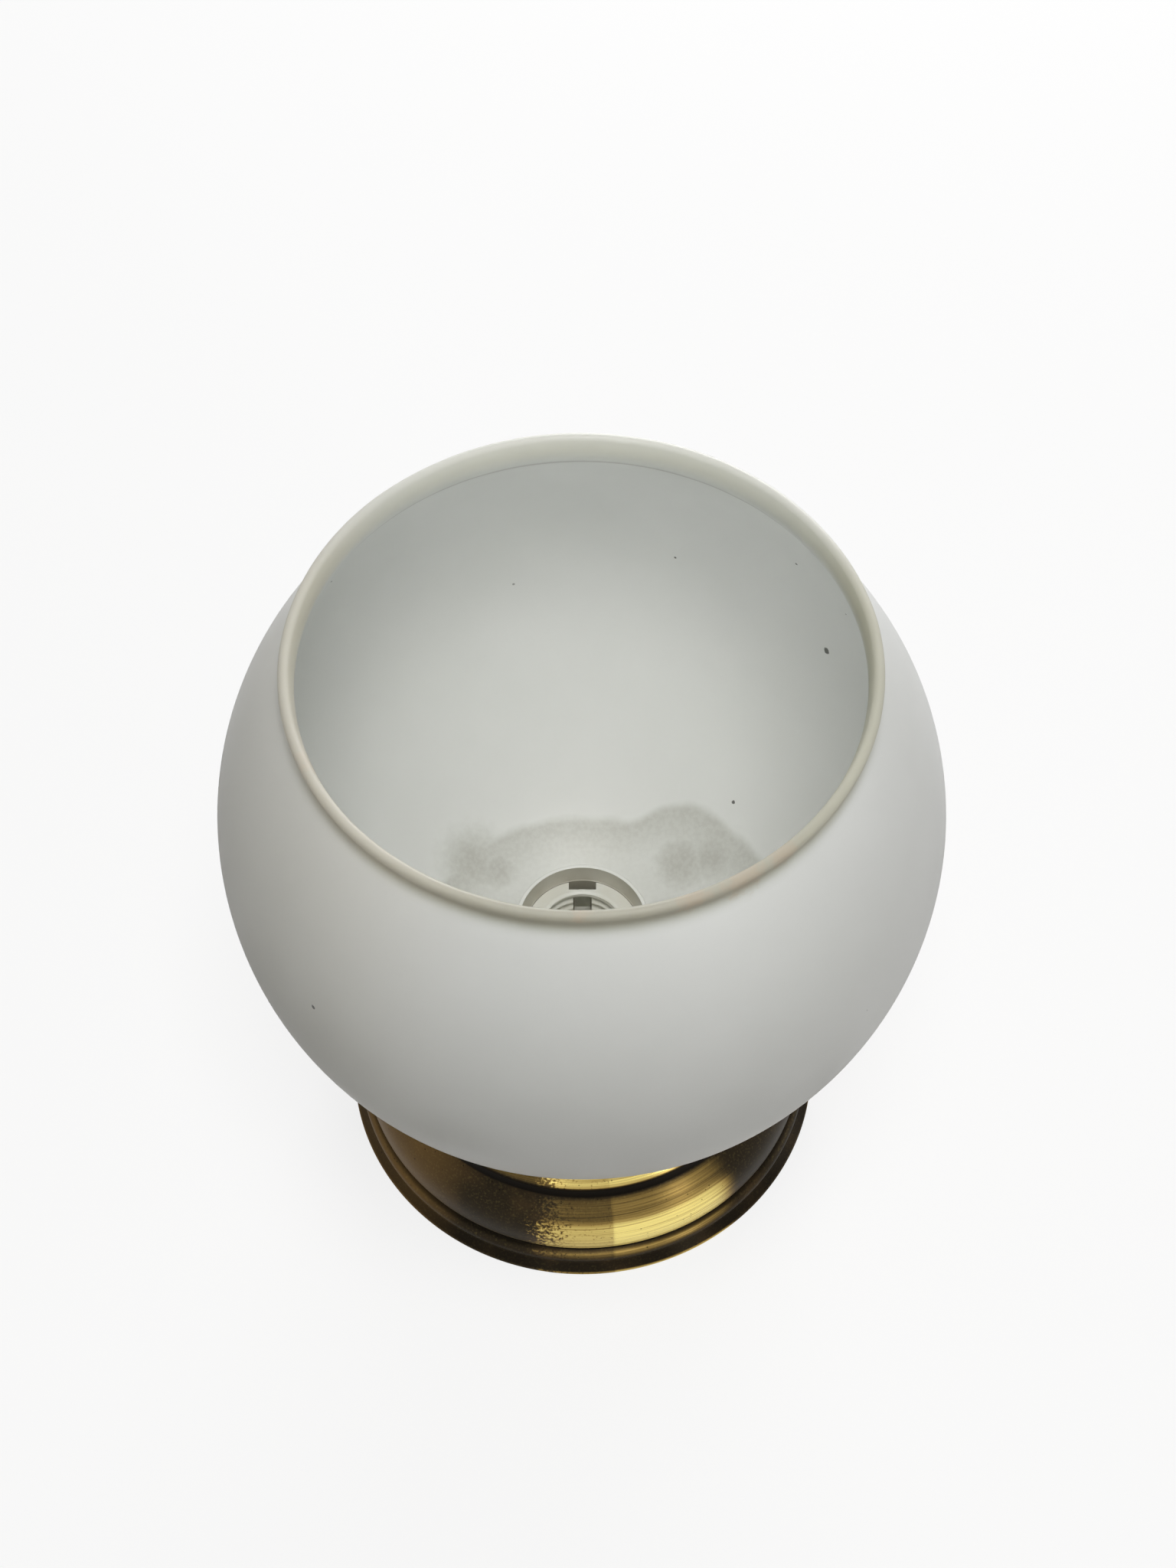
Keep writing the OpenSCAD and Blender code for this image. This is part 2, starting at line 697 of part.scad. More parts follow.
module nipple_bush() {
    out = nipple_bore_d / 2 - running_gap;
    in = out - bush_wall;
    seat = nipple_foot - face_gap;
    foot = seat - bush_collar_t;
    color("black") rotate_extrude() polygon([[in, foot], [bush_collar_r, foot], [bush_collar_r, seat],
        [out, seat], [out, seat + bush_l], [in, seat + bush_l]]);
}

module nipple_nut() {
    color("silver") translate([0, 0, nut_z]) difference() {
        cylinder(r = nut_af / 2 / cos(30), h = nut_t, $fn = 6);
        translate([0, 0, -over]) cylinder(r = nipple_r + running_gap, h = nut_t + 2 * over);
    }
}

module lock_washer() {
    z = plate_z - lock_washer_t;
    color("silver") difference() {
        ring(lock_washer_r, nipple_r + seat_gap, z, lock_washer_t);
        for (i = [0:tooth_gaps - 1]) rotate([0, 0, i * 360 / tooth_gaps])
            translate([lock_washer_r - tooth_gap_l, -tooth_gap_w / 2, z - over])
                cube([tooth_gap_l + over, tooth_gap_w, lock_washer_t + 2 * over]);
    }
}

module earth_tag() {
    color("#c9a03c") translate([0, 0, tag_z]) linear_extrude(tag_t) difference() {
        union() {
            circle(r = tag_r);
            translate([0, -tag_arm_w / 2]) square([tag_reach, tag_arm_w]);
            translate([tag_reach, 0]) circle(r = tag_arm_w / 2, $fn = 32);
        }
        circle(r = nipple_r + seat_gap);
        translate([tag_reach, 0]) circle(r = lead_r + 2 * seat_gap, $fn = 32);
    }
}

module mounting_bracket() {
    x = bracket_x;
    b = bracket_bend_r;
    z = bracket_z + b;
    n = bend_steps;
    color("#b8b8b0") difference() {
        translate([0, bracket_w / 2, 0]) rotate([90, 0, 0]) linear_extrude(bracket_w) polygon(concat(
            arc(x - b, z, b, -90, 0, n), [[x, tab_h], [x - bracket_t, tab_h]],
            arc(x - b, z, b - bracket_t, 0, -90, n), arc(b - x, z, b - bracket_t, 270, 180, n),
            [[bracket_t - x, tab_h], [-x, tab_h]], arc(b - x, z, b, 180, 270, n)));
        for (side = ends) {
            translate([side * slot_spacing / 2, 0, bracket_z - over]) slot_cut(bracket_t + 2 * over);
            translate([side * x, 0, side_screw_z]) rotate([0, 90, 0])
                cylinder(r = side_screw_r + running_gap, h = 2 * b + 2 * over, center = true);
        }
        translate([earth_x, 0, 0]) cylinder(r = earth_screw_r + running_gap, h = 2 * deck_z, $fn = 48);
        translate([block_screw_x, 0, 0]) cylinder(r = block_screw_r + running_gap, h = 2 * deck_z, $fn = 32);
    }
}

module slot_cut(h) {
    run = (slot_l - slot_w) / 2;
    translate([-run, -slot_w / 2, 0]) cube([2 * run, slot_w, h]);
    for (end = [-run, run]) translate([end, 0, 0]) cylinder(r = slot_w / 2, h = h);
}

// Right-hand side screw and washer; the left ones are their mirror images
module screw_washer() {
    color("#8a6a26") translate([side_washer_x, 0, side_screw_z]) rotate([0, 90, 0])
        ring(side_head_d / 2 + side_washer_rim, side_screw_r + running_gap, 0, side_washer_t);
}

module side_screw() {
    head_r = side_head_d / 2;
    knurl_l = 2 * (side_head_l - 2 * knurl_margin);
    color("#a8842f") translate([0, 0, side_screw_z]) rotate([0, 90, 0]) difference() {
        union() {
            translate([0, 0, side_tip_x]) cylinder(r = side_screw_r, h = side_head_x - side_tip_x + tie);
            translate([0, 0, side_head_x]) cylinder(r = head_r, h = side_head_l);
        }
        for (i = [0:knurls - 1]) rotate([0, 0, i * 360 / knurls]) translate([head_r, 0, side_head_x])
            rotate([0, 0, 45]) cube([knurl_w, knurl_w, knurl_l], center = true);
        translate([-head_r - over, -coin_slot_w / 2, side_head_x + side_head_l - coin_slot_w])
            cube([2 * (head_r + over), coin_slot_w, 2 * coin_slot_w]);
    }
}

module screw_washer_right() {
    screw_washer();
}

module side_screw_right() {
    side_screw();
}

module screw_washer_left() {
    mirror([1, 0, 0]) screw_washer();
}

module side_screw_left() {
    mirror([1, 0, 0]) side_screw();
}

// Copies a shape to the axis of each of the block's ways
module at_ways() {
    for (w = ways) translate([w * way_pitch, 0, barrel_z]) children();
}

// Copies a shape to the axis of each of the block's clamp screws
module at_clamps() {
    at_ways() for (end = ends) translate([0, end * clamp_y, 0]) children();
}

module terminal_block() {
    half = way_pitch + barrel_d / 2;
    color("#e8e4d8") difference() {
        union() {
            translate([-half, -block_l / 2, block_z]) cube([2 * half, block_l, barrel_d / 2]);
            intersection() {
                at_ways() rotate([90, 0, 0]) cylinder(r = barrel_d / 2, h = block_l, center = true, $fn = 48);
                translate([-half, -block_l, block_z]) cube([2 * half, 2 * block_l, barrel_d]);
            }
            at_clamps() cylinder(r = tower_r, h = tower_h, $fn = 48);
        }
        at_ways() rotate([90, 0, 0])
            cylinder(r = brass_sleeve_d / 2 + running_gap, h = block_l + 2 * over, center = true, $fn = 48);
        at_clamps() cylinder(r = clamp_well_r, h = tower_h + over, $fn = 48);
        translate([block_screw_x, 0, 0]) {
            cylinder(r = block_screw_r + seat_gap, h = barrel_z + tower_h, $fn = 32);
            translate([0, 0, block_head_z]) cylinder(r = block_head_r + seat_gap, h = tower_h, $fn = 32);
        }
    }
}

module terminal_sleeves() {
    bore_l = block_l - sleeve_web;
    color("#c9a03c") difference() {
        at_ways() rotate([90, 0, 0])
            cylinder(r = brass_sleeve_d / 2, h = block_l - 2 * sleeve_short, center = true, $fn = 48);
        at_ways() for (end = ends) translate([0, end * block_l / 2, 0]) rotate([90, 0, 0])
            cylinder(r = brass_bore_d / 2, h = bore_l, center = true, $fn = 48);
        at_clamps() cylinder(r = clamp_r + running_gap, h = brass_sleeve_d, $fn = 32);
    }
}

module terminal_screws() {
    l = clamp_head_z - barrel_z - brass_bore_d / 2;
    color("silver") at_clamps() translate([0, 0, brass_bore_d / 2]) difference() {
        cylinder(r = clamp_r, h = l, $fn = 32);
        translate([-clamp_r - over, -driver_slot_w / 2, l - 0.8])
            cube([2 * (clamp_r + over), driver_slot_w, over]);
    }
}

module block_screw() {
    z = block_head_z + face_gap;
    color("silver") translate([block_screw_x, 0, z])
        slotted_screw(block_screw_r, z - screw_tip_z, block_head_r, block_head_h);
}

module earth_screw() {
    z = deck_z + earth_washer_t + face_gap;
    color("#c9a03c") translate([earth_x, 0, z])
        slotted_screw(earth_screw_r, z - screw_tip_z, earth_head_r, earth_head_h);
}

module earth_washer() {
    color("silver") translate([earth_x, 0, deck_z])
        ring(earth_washer_r, earth_screw_r + seat_gap, 0, earth_washer_t);
}

// Lead from one way of the block up through the nipple to a terminal post
function supply_lead(side) = [
    [side * way_pitch, lead_end_y, barrel_z],
    [side * way_pitch, block_l / 2 + lead_straight, barrel_z],
    [side * way_pitch * 0.95, block_l / 2 + lead_swing, barrel_z + lead_climb * 0.14],
    [side * way_pitch * 0.6, block_l * 0.74, barrel_z + lead_climb * 0.45],
    [side * lead_gap * 1.6, block_l * 0.24, barrel_z + lead_climb * 0.73],
    [side * lead_gap, 0.4, nipple_foot - 1], [side * lead_gap, 0, nipple_foot + nipple_tail / 2],
    [side * lead_gap, 0, nipple_top - nipple_r], [side * lead_gap, 0, nipple_top - 1.2],
    [side * (lead_gap + 1.6), 0, nipple_top + 1.8],
    [side * (post_x - post_w / 2 - 1.6), 0, post_bore_z], [side * (post_x + 1), 0, post_bore_z]];

module wire_live() {
    color("#5a3a22") tube_along(smooth(supply_lead(-1), 3), lead_r);
}

module wire_neutral() {
    color("#2a5aa8") tube_along(smooth(supply_lead(1), 3), lead_r);
}

module wire_earth() {
    color("#7a9a2a") tube_along(smooth([
        [0, lead_end_y, barrel_z], [0, block_l / 2 + lead_straight, barrel_z],
        [tag_reach * 0.14, block_l / 2 + lead_swing, barrel_z + earth_climb * 0.05],
        [tag_reach * 0.48, block_l, barrel_z + earth_climb * 0.25],
        [tag_reach * 0.8, block_l / 2, barrel_z + earth_climb * 0.47],
        [tag_reach, 2, barrel_z + earth_climb * 0.84],
        [tag_reach, 0, tag_z - 2], [tag_reach, 0, tag_z + tag_t + 0.4]], 3), lead_r);
}

glass_shade();
canopy();
holder_skirt();
thread_insert();
shade_seat();
shade_gasket();
clamp_gasket();
ring_washer();
shade_ring();
holder_cap();
cap_grub_screw();
contact_base();
contact_pin();
contact_spring();
side_contact();
holder_terminals();
holder_terminal_screws();
threaded_nipple();
nipple_bush();
nipple_nut();
lock_washer();
earth_tag();
mounting_bracket();
screw_washer_left();
side_screw_left();
screw_washer_right();
side_screw_right();
terminal_block();
terminal_sleeves();
terminal_screws();
block_screw();
earth_screw();
earth_washer();
wire_live();
wire_neutral();
wire_earth();
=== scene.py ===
# %% [markdown]
# # A ceiling lamp, stood on its canopy
#
# The lamp is an opal glass globe on a spun brass canopy, with a screw lampholder inside.
# It stands upside down, so the canopy's base plane is the floor and the globe's mouth
# opens upwards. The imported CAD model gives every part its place, in metres. This lesson
# dresses that frame: it turns fine glass and brass skins, cuts real threads, and mixes a
# finish for each part. Sizes below are in millimetres, as on a workshop drawing.

# %% Load the lamp's frame
import math

import bmesh
import bpy
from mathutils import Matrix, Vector, noise


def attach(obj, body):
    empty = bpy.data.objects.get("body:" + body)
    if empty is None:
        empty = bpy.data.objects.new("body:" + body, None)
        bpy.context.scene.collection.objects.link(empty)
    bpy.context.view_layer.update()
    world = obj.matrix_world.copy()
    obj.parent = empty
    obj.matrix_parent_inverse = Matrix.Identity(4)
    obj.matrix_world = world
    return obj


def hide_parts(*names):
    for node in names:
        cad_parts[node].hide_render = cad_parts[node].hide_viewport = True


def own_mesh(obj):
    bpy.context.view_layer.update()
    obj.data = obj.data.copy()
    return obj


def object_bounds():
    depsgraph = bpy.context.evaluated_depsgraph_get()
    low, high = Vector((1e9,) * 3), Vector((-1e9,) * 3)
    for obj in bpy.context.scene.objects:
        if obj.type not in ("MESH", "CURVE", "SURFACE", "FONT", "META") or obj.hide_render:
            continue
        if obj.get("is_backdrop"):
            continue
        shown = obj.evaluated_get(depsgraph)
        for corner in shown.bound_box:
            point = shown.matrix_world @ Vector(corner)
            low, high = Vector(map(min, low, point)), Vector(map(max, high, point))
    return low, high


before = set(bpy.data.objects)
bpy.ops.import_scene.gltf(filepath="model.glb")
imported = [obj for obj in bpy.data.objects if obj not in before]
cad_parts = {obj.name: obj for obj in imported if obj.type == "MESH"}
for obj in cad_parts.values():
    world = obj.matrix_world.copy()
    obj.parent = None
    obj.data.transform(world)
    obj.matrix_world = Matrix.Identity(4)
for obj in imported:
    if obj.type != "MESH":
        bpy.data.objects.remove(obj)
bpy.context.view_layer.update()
scene = bpy.context.scene
scene.view_settings.view_transform = "Standard"
MM = 0.001

# %% [markdown]
# ## The camera
#
# The photograph looks down into the globe at 56 degrees, from about 70 centimetres. A
# long lens keeps the ellipse of the mouth close to its true shape. Blender gives the
# sensor's width to the longer side of the picture, which is the upright one here.

# %% Place the camera
CAMERA_AT, CAMERA_TILT, LENS = (1.7, -358.9, 694.6), 34, 54.105
SENSOR, NEAREST = 36, 0.02


def place_camera(location, tilt, lens):
    """A camera that looks along +Y, tilted down from the horizon by 90 degrees less tilt."""
    data = bpy.data.cameras.new("lamp_camera")
    data.lens = lens
    data.sensor_width = SENSOR
    data.clip_start = NEAREST
    camera = bpy.data.objects.new("lamp_camera", data)
    camera.location = [v * MM for v in location]
    camera.rotation_euler = (math.radians(tilt), 0, 0)
    scene.collection.objects.link(camera)
    return camera


scene.camera = place_camera(CAMERA_AT, CAMERA_TILT, LENS)
print("camera at", tuple(round(v, 4) for v in scene.camera.location))

# %% [markdown]
# ## Nodes without the wiring
#
# Materials are networks of nodes, and wiring them by hand soon hides the idea. A few small
# helpers keep them readable: one adds a node and fills its sockets, others do arithmetic
# with masks or blend two colours by a mask. A socket takes either a plain value or the
# output of another node.

# %% Helpers for shader networks
def feed(tree, socket, value):
    """Links a node's output to the socket, or sets the socket to a plain value."""
    if isinstance(value, bpy.types.NodeSocket):
        tree.links.new(value, socket)
    elif socket.type == "RGBA" and len(value) == 3:
        socket.default_value = (*value, 1)
    else:
        socket.default_value = value


def put(tree, kind, sockets=None, **settings):
    """Adds a node. Sockets are named or numbered; settings are the node's own options."""
    made = tree.nodes.new("ShaderNode" + kind)
    for name, value in settings.items():
        setattr(made, name, value)
    for name, value in (sockets or {}).items():
        feed(tree, made.inputs[name], value)
    return made


def sum_up(tree, operation, *values):
    """One step of arithmetic on plain numbers or outputs."""
    return put(tree, "Math", dict(enumerate(values)), operation=operation).outputs[0]


def times(tree, first, second):
    """The product: a mask held back by another mask or by a number."""
    return sum_up(tree, "MULTIPLY", first, second)


def either(tree, first, second):
    """The stronger of two masks."""
    return sum_up(tree, "MAXIMUM", first, second)


def invert(tree, mask):
    """1 where the mask is 0, and 0 where it is 1."""
    return sum_up(tree, "SUBTRACT", 1.0, mask)


def mix(tree, factor, first, second):
    """Blends two colours by a mask."""
    return put(tree, "Mix", {0: factor, 6: first, 7: second}, data_type="RGBA").outputs[2]


def ease(tree, value, low, high, to_low=0.0, to_high=1.0):
    """A soft step: to_low below low, to_high above high, a smooth rise between them."""
    made = put(tree, "MapRange", {0: value, 1: low, 2: high, 3: to_low, 4: to_high},
               interpolation_type="SMOOTHSTEP")
    return made.outputs[0]


def new_group(name, takes, gives):
    """An empty shader node group with named inputs and outputs."""
    tree = bpy.data.node_groups.new(name, "ShaderNodeTree")
    for label, value in takes.items():
        kind = "NodeSocketVector" if isinstance(value, tuple) else "NodeSocketFloat"
        tree.interface.new_socket(name=label, in_out="INPUT", socket_type=kind).default_value = value
    for label in gives:
        tree.interface.new_socket(name=label, in_out="OUTPUT", socket_type="NodeSocketFloat")
    return tree, tree.nodes.new("NodeGroupInput").outputs, tree.nodes.new("NodeGroupOutput").inputs


def use(tree, group, sockets=None):
    """Places a node group in a material and returns its outputs."""
    made = put(tree, "Group", node_tree=group)
    for name, value in (sockets or {}).items():
        feed(tree, made.inputs[name], value)
    return made.outputs


print("shader helpers ready")

# %% [markdown]
# ## Effects that many surfaces share
#
# Clouds of tarnish, the fine lines that a spinning tool leaves, hair scratches, specks,
# single placed marks and bands each become a node group, built once and placed in every
# material that needs it. A group gives out masks and heights only, so each material
# decides what they do to its colour, gloss and relief.

# %% Clouds: soft patches at any scale
clouds, takes, gives = new_group(
    "soft_clouds",
    {"Place": (0.0, 0.0, 0.0), "Scale": 100.0, "Detail": 3.0, "Low": 0.45, "High": 0.6},
    ["Mask", "Raw"])
grain = put(clouds, "TexNoise",
            {"Vector": takes["Place"], "Scale": takes["Scale"], "Detail": takes["Detail"]}).outputs["Fac"]
feed(clouds, gives["Mask"], ease(clouds, grain, takes["Low"], takes["High"]))
feed(clouds, gives["Raw"], grain)


def patches(tree, place, scale, low=0.45, high=0.6, detail=3.0):
    """Places the clouds: Mask is eased from low to high, Raw is the noise itself."""
    return use(tree, clouds, {"Place": place, "Scale": scale, "Detail": detail, "Low": low, "High": high})


print("group", clouds.name)

# %% Turned lines: what a lathe or spinning tool leaves around the z axis
turned, takes, gives = new_group(
    "turned_lines", {"Place": (0.0, 0.0, 0.0), "Scale": 900.0, "Drift": 6.0}, ["Height"])
split = put(turned, "SeparateXYZ", {0: takes["Place"]})
flat = put(turned, "CombineXYZ", {0: split.outputs[0], 1: split.outputs[1]})
radius = put(turned, "VectorMath", {0: flat.outputs[0]}, operation="LENGTH").outputs["Value"]
around = put(turned, "VectorMath", {0: flat.outputs[0]}, operation="NORMALIZE")
drift = put(turned, "VectorMath", {0: around.outputs[0], "Scale": takes["Drift"]}, operation="SCALE")
lines = put(turned, "CombineXYZ", {
    0: times(turned, radius, takes["Scale"]),
    1: times(turned, split.outputs[2], takes["Scale"])})
where = put(turned, "VectorMath", {0: lines.outputs[0], 1: drift.outputs[0]}, operation="ADD")
tool = put(turned, "TexNoise", {"Vector": where.outputs[0], "Scale": 1.0, "Detail": 4.0, "Roughness": 0.7})
feed(turned, gives["Height"], tool.outputs["Fac"])
print("group", turned.name)

# %% Hair scratches: thin lines where a stretched noise crosses its middle
scratches, takes, gives = new_group(
    "hair_scratches", {"Place": (0.0, 0.0, 0.0), "Scale": 60.0, "Stretch": (1.0, 1.0, 0.08),
                       "Turn": (0.0, 0.0, 0.0), "Width": 0.006, "Spread": 0.55}, ["Mask"])
bent = put(scratches, "Mapping", {0: takes["Place"], "Rotation": takes["Turn"], "Scale": takes["Stretch"]})
field = put(scratches, "TexNoise", {"Vector": bent.outputs[0], "Scale": takes["Scale"], "Detail": 1.0})
near = sum_up(scratches, "ABSOLUTE", sum_up(scratches, "SUBTRACT", field.outputs["Fac"], 0.5))
line = ease(scratches, near, 0.0, takes["Width"], 1.0, 0.0)
patch = put(scratches, "TexNoise", {"Vector": takes["Place"], "Scale": takes["Scale"], "Detail": 2.0})
high = sum_up(scratches, "ADD", takes["Spread"], 0.08)
feed(scratches, gives["Mask"],
     times(scratches, line, ease(scratches, patch.outputs["Fac"], takes["Spread"], high)))
print("group", scratches.name)

# %% Specks: small round spots, each cell of a Voronoi pattern with its own luck
specks, takes, gives = new_group(
    "specks", {"Place": (0.0, 0.0, 0.0), "Scale": 150.0, "Size": 0.12, "Share": 0.2}, ["Mask"])
cell = put(specks, "TexVoronoi", {"Vector": takes["Place"], "Scale": takes["Scale"]})
luck = put(specks, "SeparateColor", {0: cell.outputs["Color"]})
reach = times(specks, takes["Size"], luck.outputs[1])
spot = sum_up(specks, "LESS_THAN", cell.outputs["Distance"], reach)
chosen = sum_up(specks, "LESS_THAN", luck.outputs[0], takes["Share"])
feed(specks, gives["Mask"], times(specks, spot, chosen))
print("group", specks.name)

# %% A placed mark: a blot of given size round one point of the surface
mark, takes, gives = new_group(
    "placed_mark", {"Place": (0.0, 0.0, 0.0), "Centre": (0.0, 0.0, 0.0), "Radius": 0.002,
                    "Edge": 0.3, "Wobble": 0.3}, ["Mask"])
away = put(mark, "VectorMath", {0: takes["Place"], 1: takes["Centre"]}, operation="DISTANCE")
share = sum_up(mark, "DIVIDE", away.outputs["Value"], takes["Radius"])
ragged = put(mark, "TexNoise", {"Vector": takes["Place"], "Scale": 420.0, "Detail": 3.0})
shift = times(mark, sum_up(mark, "SUBTRACT", ragged.outputs["Fac"], 0.5), takes["Wobble"])
bent_share = sum_up(mark, "ADD", share, times(mark, shift, 4.0))
feed(mark, gives["Mask"], ease(mark, bent_share, invert(mark, takes["Edge"]), 1.0, 1.0, 0.0))


def placed(tree, place, marks, edge, wobble):
    """One mask from a list of marks, each with its centre and radius in millimetres."""
    total = 0.0
    for *centre, size in marks:
        made = use(tree, mark, {"Place": place, "Centre": tuple(v * MM for v in centre),
                                "Radius": size * MM, "Edge": edge, "Wobble": wobble})
        total = either(tree, total, made["Mask"])
    return total


print("group", mark.name)

# %% A band: a soft stripe at one height
band, takes, gives = new_group(
    "band", {"Value": 0.0, "Centre": 0.0, "Half": 0.001, "Soft": 0.001}, ["Mask"])
off = sum_up(band, "ABSOLUTE", sum_up(band, "SUBTRACT", takes["Value"], takes["Centre"]))
edge = sum_up(band, "ADD", takes["Half"], takes["Soft"])
feed(band, gives["Mask"], ease(band, off, takes["Half"], edge, 1.0, 0.0))


def stripe(tree, height, centre, half, soft):
    """Places a band: its middle, its half width and its soft edge are in millimetres."""
    return use(tree, band, {"Value": height, "Centre": centre * MM, "Half": half * MM,
                            "Soft": soft * MM})["Mask"]


print("group", band.name)

# %% [markdown]
# ## A blank material
#
# Each finish starts from the same blank: a Principled BSDF and the surface's own
# coordinates. Object coordinates move with a part, so its marks stay where they are when
# the lamp is taken apart.

# %% Start a material
def new_finish(name, **plain):
    """A material with its tree, its Principled shader and its coordinates (x, y, z, whole)."""
    material = bpy.data.materials.new(name + "_finish")
    material.use_nodes = True
    tree = material.node_tree
    shader = tree.nodes["Principled BSDF"]
    for label, value in plain.items():
        feed(tree, shader.inputs[label.replace("_", " ")], value)
    place = put(tree, "TexCoord").outputs["Object"]
    return material, tree, shader.inputs, place


def relief(tree, height, distance, strength):
    """A bump from a height, given in metres of depth."""
    return put(tree, "Bump", {"Height": height, "Distance": distance, "Strength": strength}).outputs[0]


def polar(tree, place):
    """The place as x, y and z, its direction from the lamp's axis, and its distance from it."""
    xyz = put(tree, "SeparateXYZ", {0: place}).outputs
    flat = put(tree, "CombineXYZ", {0: xyz[0], 1: xyz[1]}).outputs[0]
    around = put(tree, "VectorMath", {0: flat}, operation="NORMALIZE").outputs[0]
    return xyz, around, put(tree, "VectorMath", {0: flat}, operation="LENGTH").outputs["Value"]


def facing(tree, around, azimuth, half, soft):
    """A wedge of the circle, in degrees from the front towards the right: 1 within half of the
    azimuth, and fading to 0 over the next soft degrees."""
    turn = math.radians(azimuth)
    toward = (math.sin(turn), -math.cos(turn), 0)
    along = put(tree, "VectorMath", {0: around, 1: toward}, operation="DOT_PRODUCT").outputs["Value"]
    return ease(tree, along, math.cos(math.radians(half + soft)), math.cos(math.radians(half)))


print("finish helpers ready")

# %% [markdown]
# ## Opal glass
#
# The globe is mouth-blown opal glass, etched to a satin. Light goes a little way into it
# before it comes back, so subsurface scattering softens every shade. One Principled shader
# does this at full weight, with a short scattering length. The body is a cool white with
# faint clouds. The lip was cut and fired, so it is creamier. It is darker on the side that
# faces the front and paler at the back, and a few old stains sit on it.

# %% Mix the glass and its lip
GLOBE_Z, GLOBE_R = 147.49, 100.0
SCATTER = {"Subsurface_Weight": 1.0, "Subsurface_Scale": 0.008, "Subsurface_Radius": (1.0, 1.0, 1.0)}
GLASS_TINT, CLOUD_SHADE = (0.890, 0.914, 0.880), 0.96
LIP_TINT, LIP_NEAR = (0.57, 0.56, 0.455), (0.47, 0.455, 0.375)
LIP_FROM, LIP_FULL, LIP_BACK = 0.2100, 0.2165, 0.55
STAIN_TINT, STAIN_DEPTH = (0.55, 0.44, 0.33), 0.5
LIP_STAINS = [(26, -70, 219, 6), (38, -64, 219, 8), (48, -58, 219, 6), (-66, -31, 219, 6), (0, -75, 219, 3)]

opal_glass, tree, shader, place = new_finish("opal_glass", IOR=1.5, **SCATTER)
xyz, around, radius = polar(tree, place)
melt = patches(tree, place, 18.0, 0.3, 0.7)
colour = mix(tree, melt["Mask"], GLASS_TINT, tuple(v * CLOUD_SHADE for v in GLASS_TINT))
lip = ease(tree, xyz[2], LIP_FROM, LIP_FULL)
lip = times(tree, lip, ease(tree, facing(tree, around, 180, 30, 60), 0.0, 1.0, 1.0, LIP_BACK))
colour = mix(tree, lip, colour, mix(tree, facing(tree, around, -20, 40, 50), LIP_TINT, LIP_NEAR))
stain = placed(tree, place, LIP_STAINS, 0.8, 0.4)
colour = mix(tree, times(tree, stain, STAIN_DEPTH), colour, STAIN_TINT)
print("glass tint", GLASS_TINT, "with", len(LIP_STAINS), "stains on the lip")

# %% [markdown]
# ## Warm light in the wall
#
# The brass below throws a warm light into the lower half of the globe, and the glass
# carries it. A tint on the outer face does this without a coloured lamp. A mask that knows
# the inner face from the outer one keeps it out of the bowl: every point nearer to the
# globe's centre than the middle of the wall is inside.

# %% Warm the outer face
WARM_TINT, WARM_FULL, WARM_END = (0.90, 0.835, 0.71), 0.060, 0.140
WARM_SIDE, WARM_SIDE_DEPTH = -75, 0.4
INNER_FACE, OUTER_FACE = 0.0978, 0.0988

centre = (0, 0, GLOBE_Z * MM)
reach = put(tree, "VectorMath", {0: place, 1: centre}, operation="DISTANCE").outputs["Value"]
inside_wall = ease(tree, reach, INNER_FACE, OUTER_FACE, 1.0, 0.0)
warm = either(tree, ease(tree, xyz[2], WARM_FULL, WARM_END, 1.0, 0.0),
              times(tree, facing(tree, around, WARM_SIDE, 20, 45), WARM_SIDE_DEPTH))
warm = times(tree, warm, invert(tree, inside_wall))
colour = mix(tree, warm, colour, WARM_TINT)
print("warm up to", WARM_END / MM, "mm")

# %% [markdown]
# ## A darker ring in the bowl
#
# Round the lampholder the bottom of the bowl is a darker grey-brown. It ends in a crisp,
# slightly wavy arc and thins out towards the middle. Behind the lampholder it is strongest,
# with a few greyer marks near the arc. It is a mask made from the distance to the axis, so
# it stays round from every side, and fine noise breaks it into streaks.

# %% Lay the darker ring
BOWL_DARK_TINT, DARK_RING_R, DARK_RING_BULGE, DARK_RING_WAVE = (0.35, 0.33, 0.295), 0.0525, 0.011, 0.006
DARK_RING_EDGE, DARK_RING_MIDDLE, DARK_RING_FRONT = 0.48, 0.2, 0.35
DARK_RING_FULL_Z, DARK_RING_END_Z = 0.085, 0.100
GREY_MARKS, GREY_MARK_DEPTH = [(-34, 36, 65, 16), (-27, 36, 61, 12), (31, 37, 64, 16), (41, 37, 67, 14)], 0.55

bend = patches(tree, place, 38.0, detail=4.0)["Raw"]
edge_r = sum_up(tree, "ADD", DARK_RING_R, times(tree, facing(tree, around, 128, 8, 30), DARK_RING_BULGE))
edge_r = sum_up(tree, "ADD", edge_r, times(tree, sum_up(tree, "SUBTRACT", bend, 0.5), DARK_RING_WAVE))
short = sum_up(tree, "SUBTRACT", edge_r, radius)
veil = times(tree, ease(tree, short, -0.001, 0.002), ease(tree, short, 0.001, 0.015, DARK_RING_EDGE, DARK_RING_MIDDLE))
veil = times(tree, veil, ease(tree, facing(tree, around, 180, 50, 40), 0.0, 1.0, DARK_RING_FRONT, 1.0))
dark_marks = either(tree, veil, times(tree, placed(tree, place, GREY_MARKS, 0.9, 0.08), GREY_MARK_DEPTH))
low_down = ease(tree, xyz[2], DARK_RING_FULL_Z, DARK_RING_END_Z, 1.0, 0.0)
dark_marks = times(tree, dark_marks, times(tree, inside_wall, low_down))
streaks = patches(tree, place, 650.0, 0.3, 0.7, 6.0)["Mask"]
dark_marks = times(tree, dark_marks, ease(tree, streaks, 0.0, 1.0, 0.86, 1.06))
print("darker ring out to", DARK_RING_R / MM, "mm from the axis, with", len(GREY_MARKS), "grey marks")
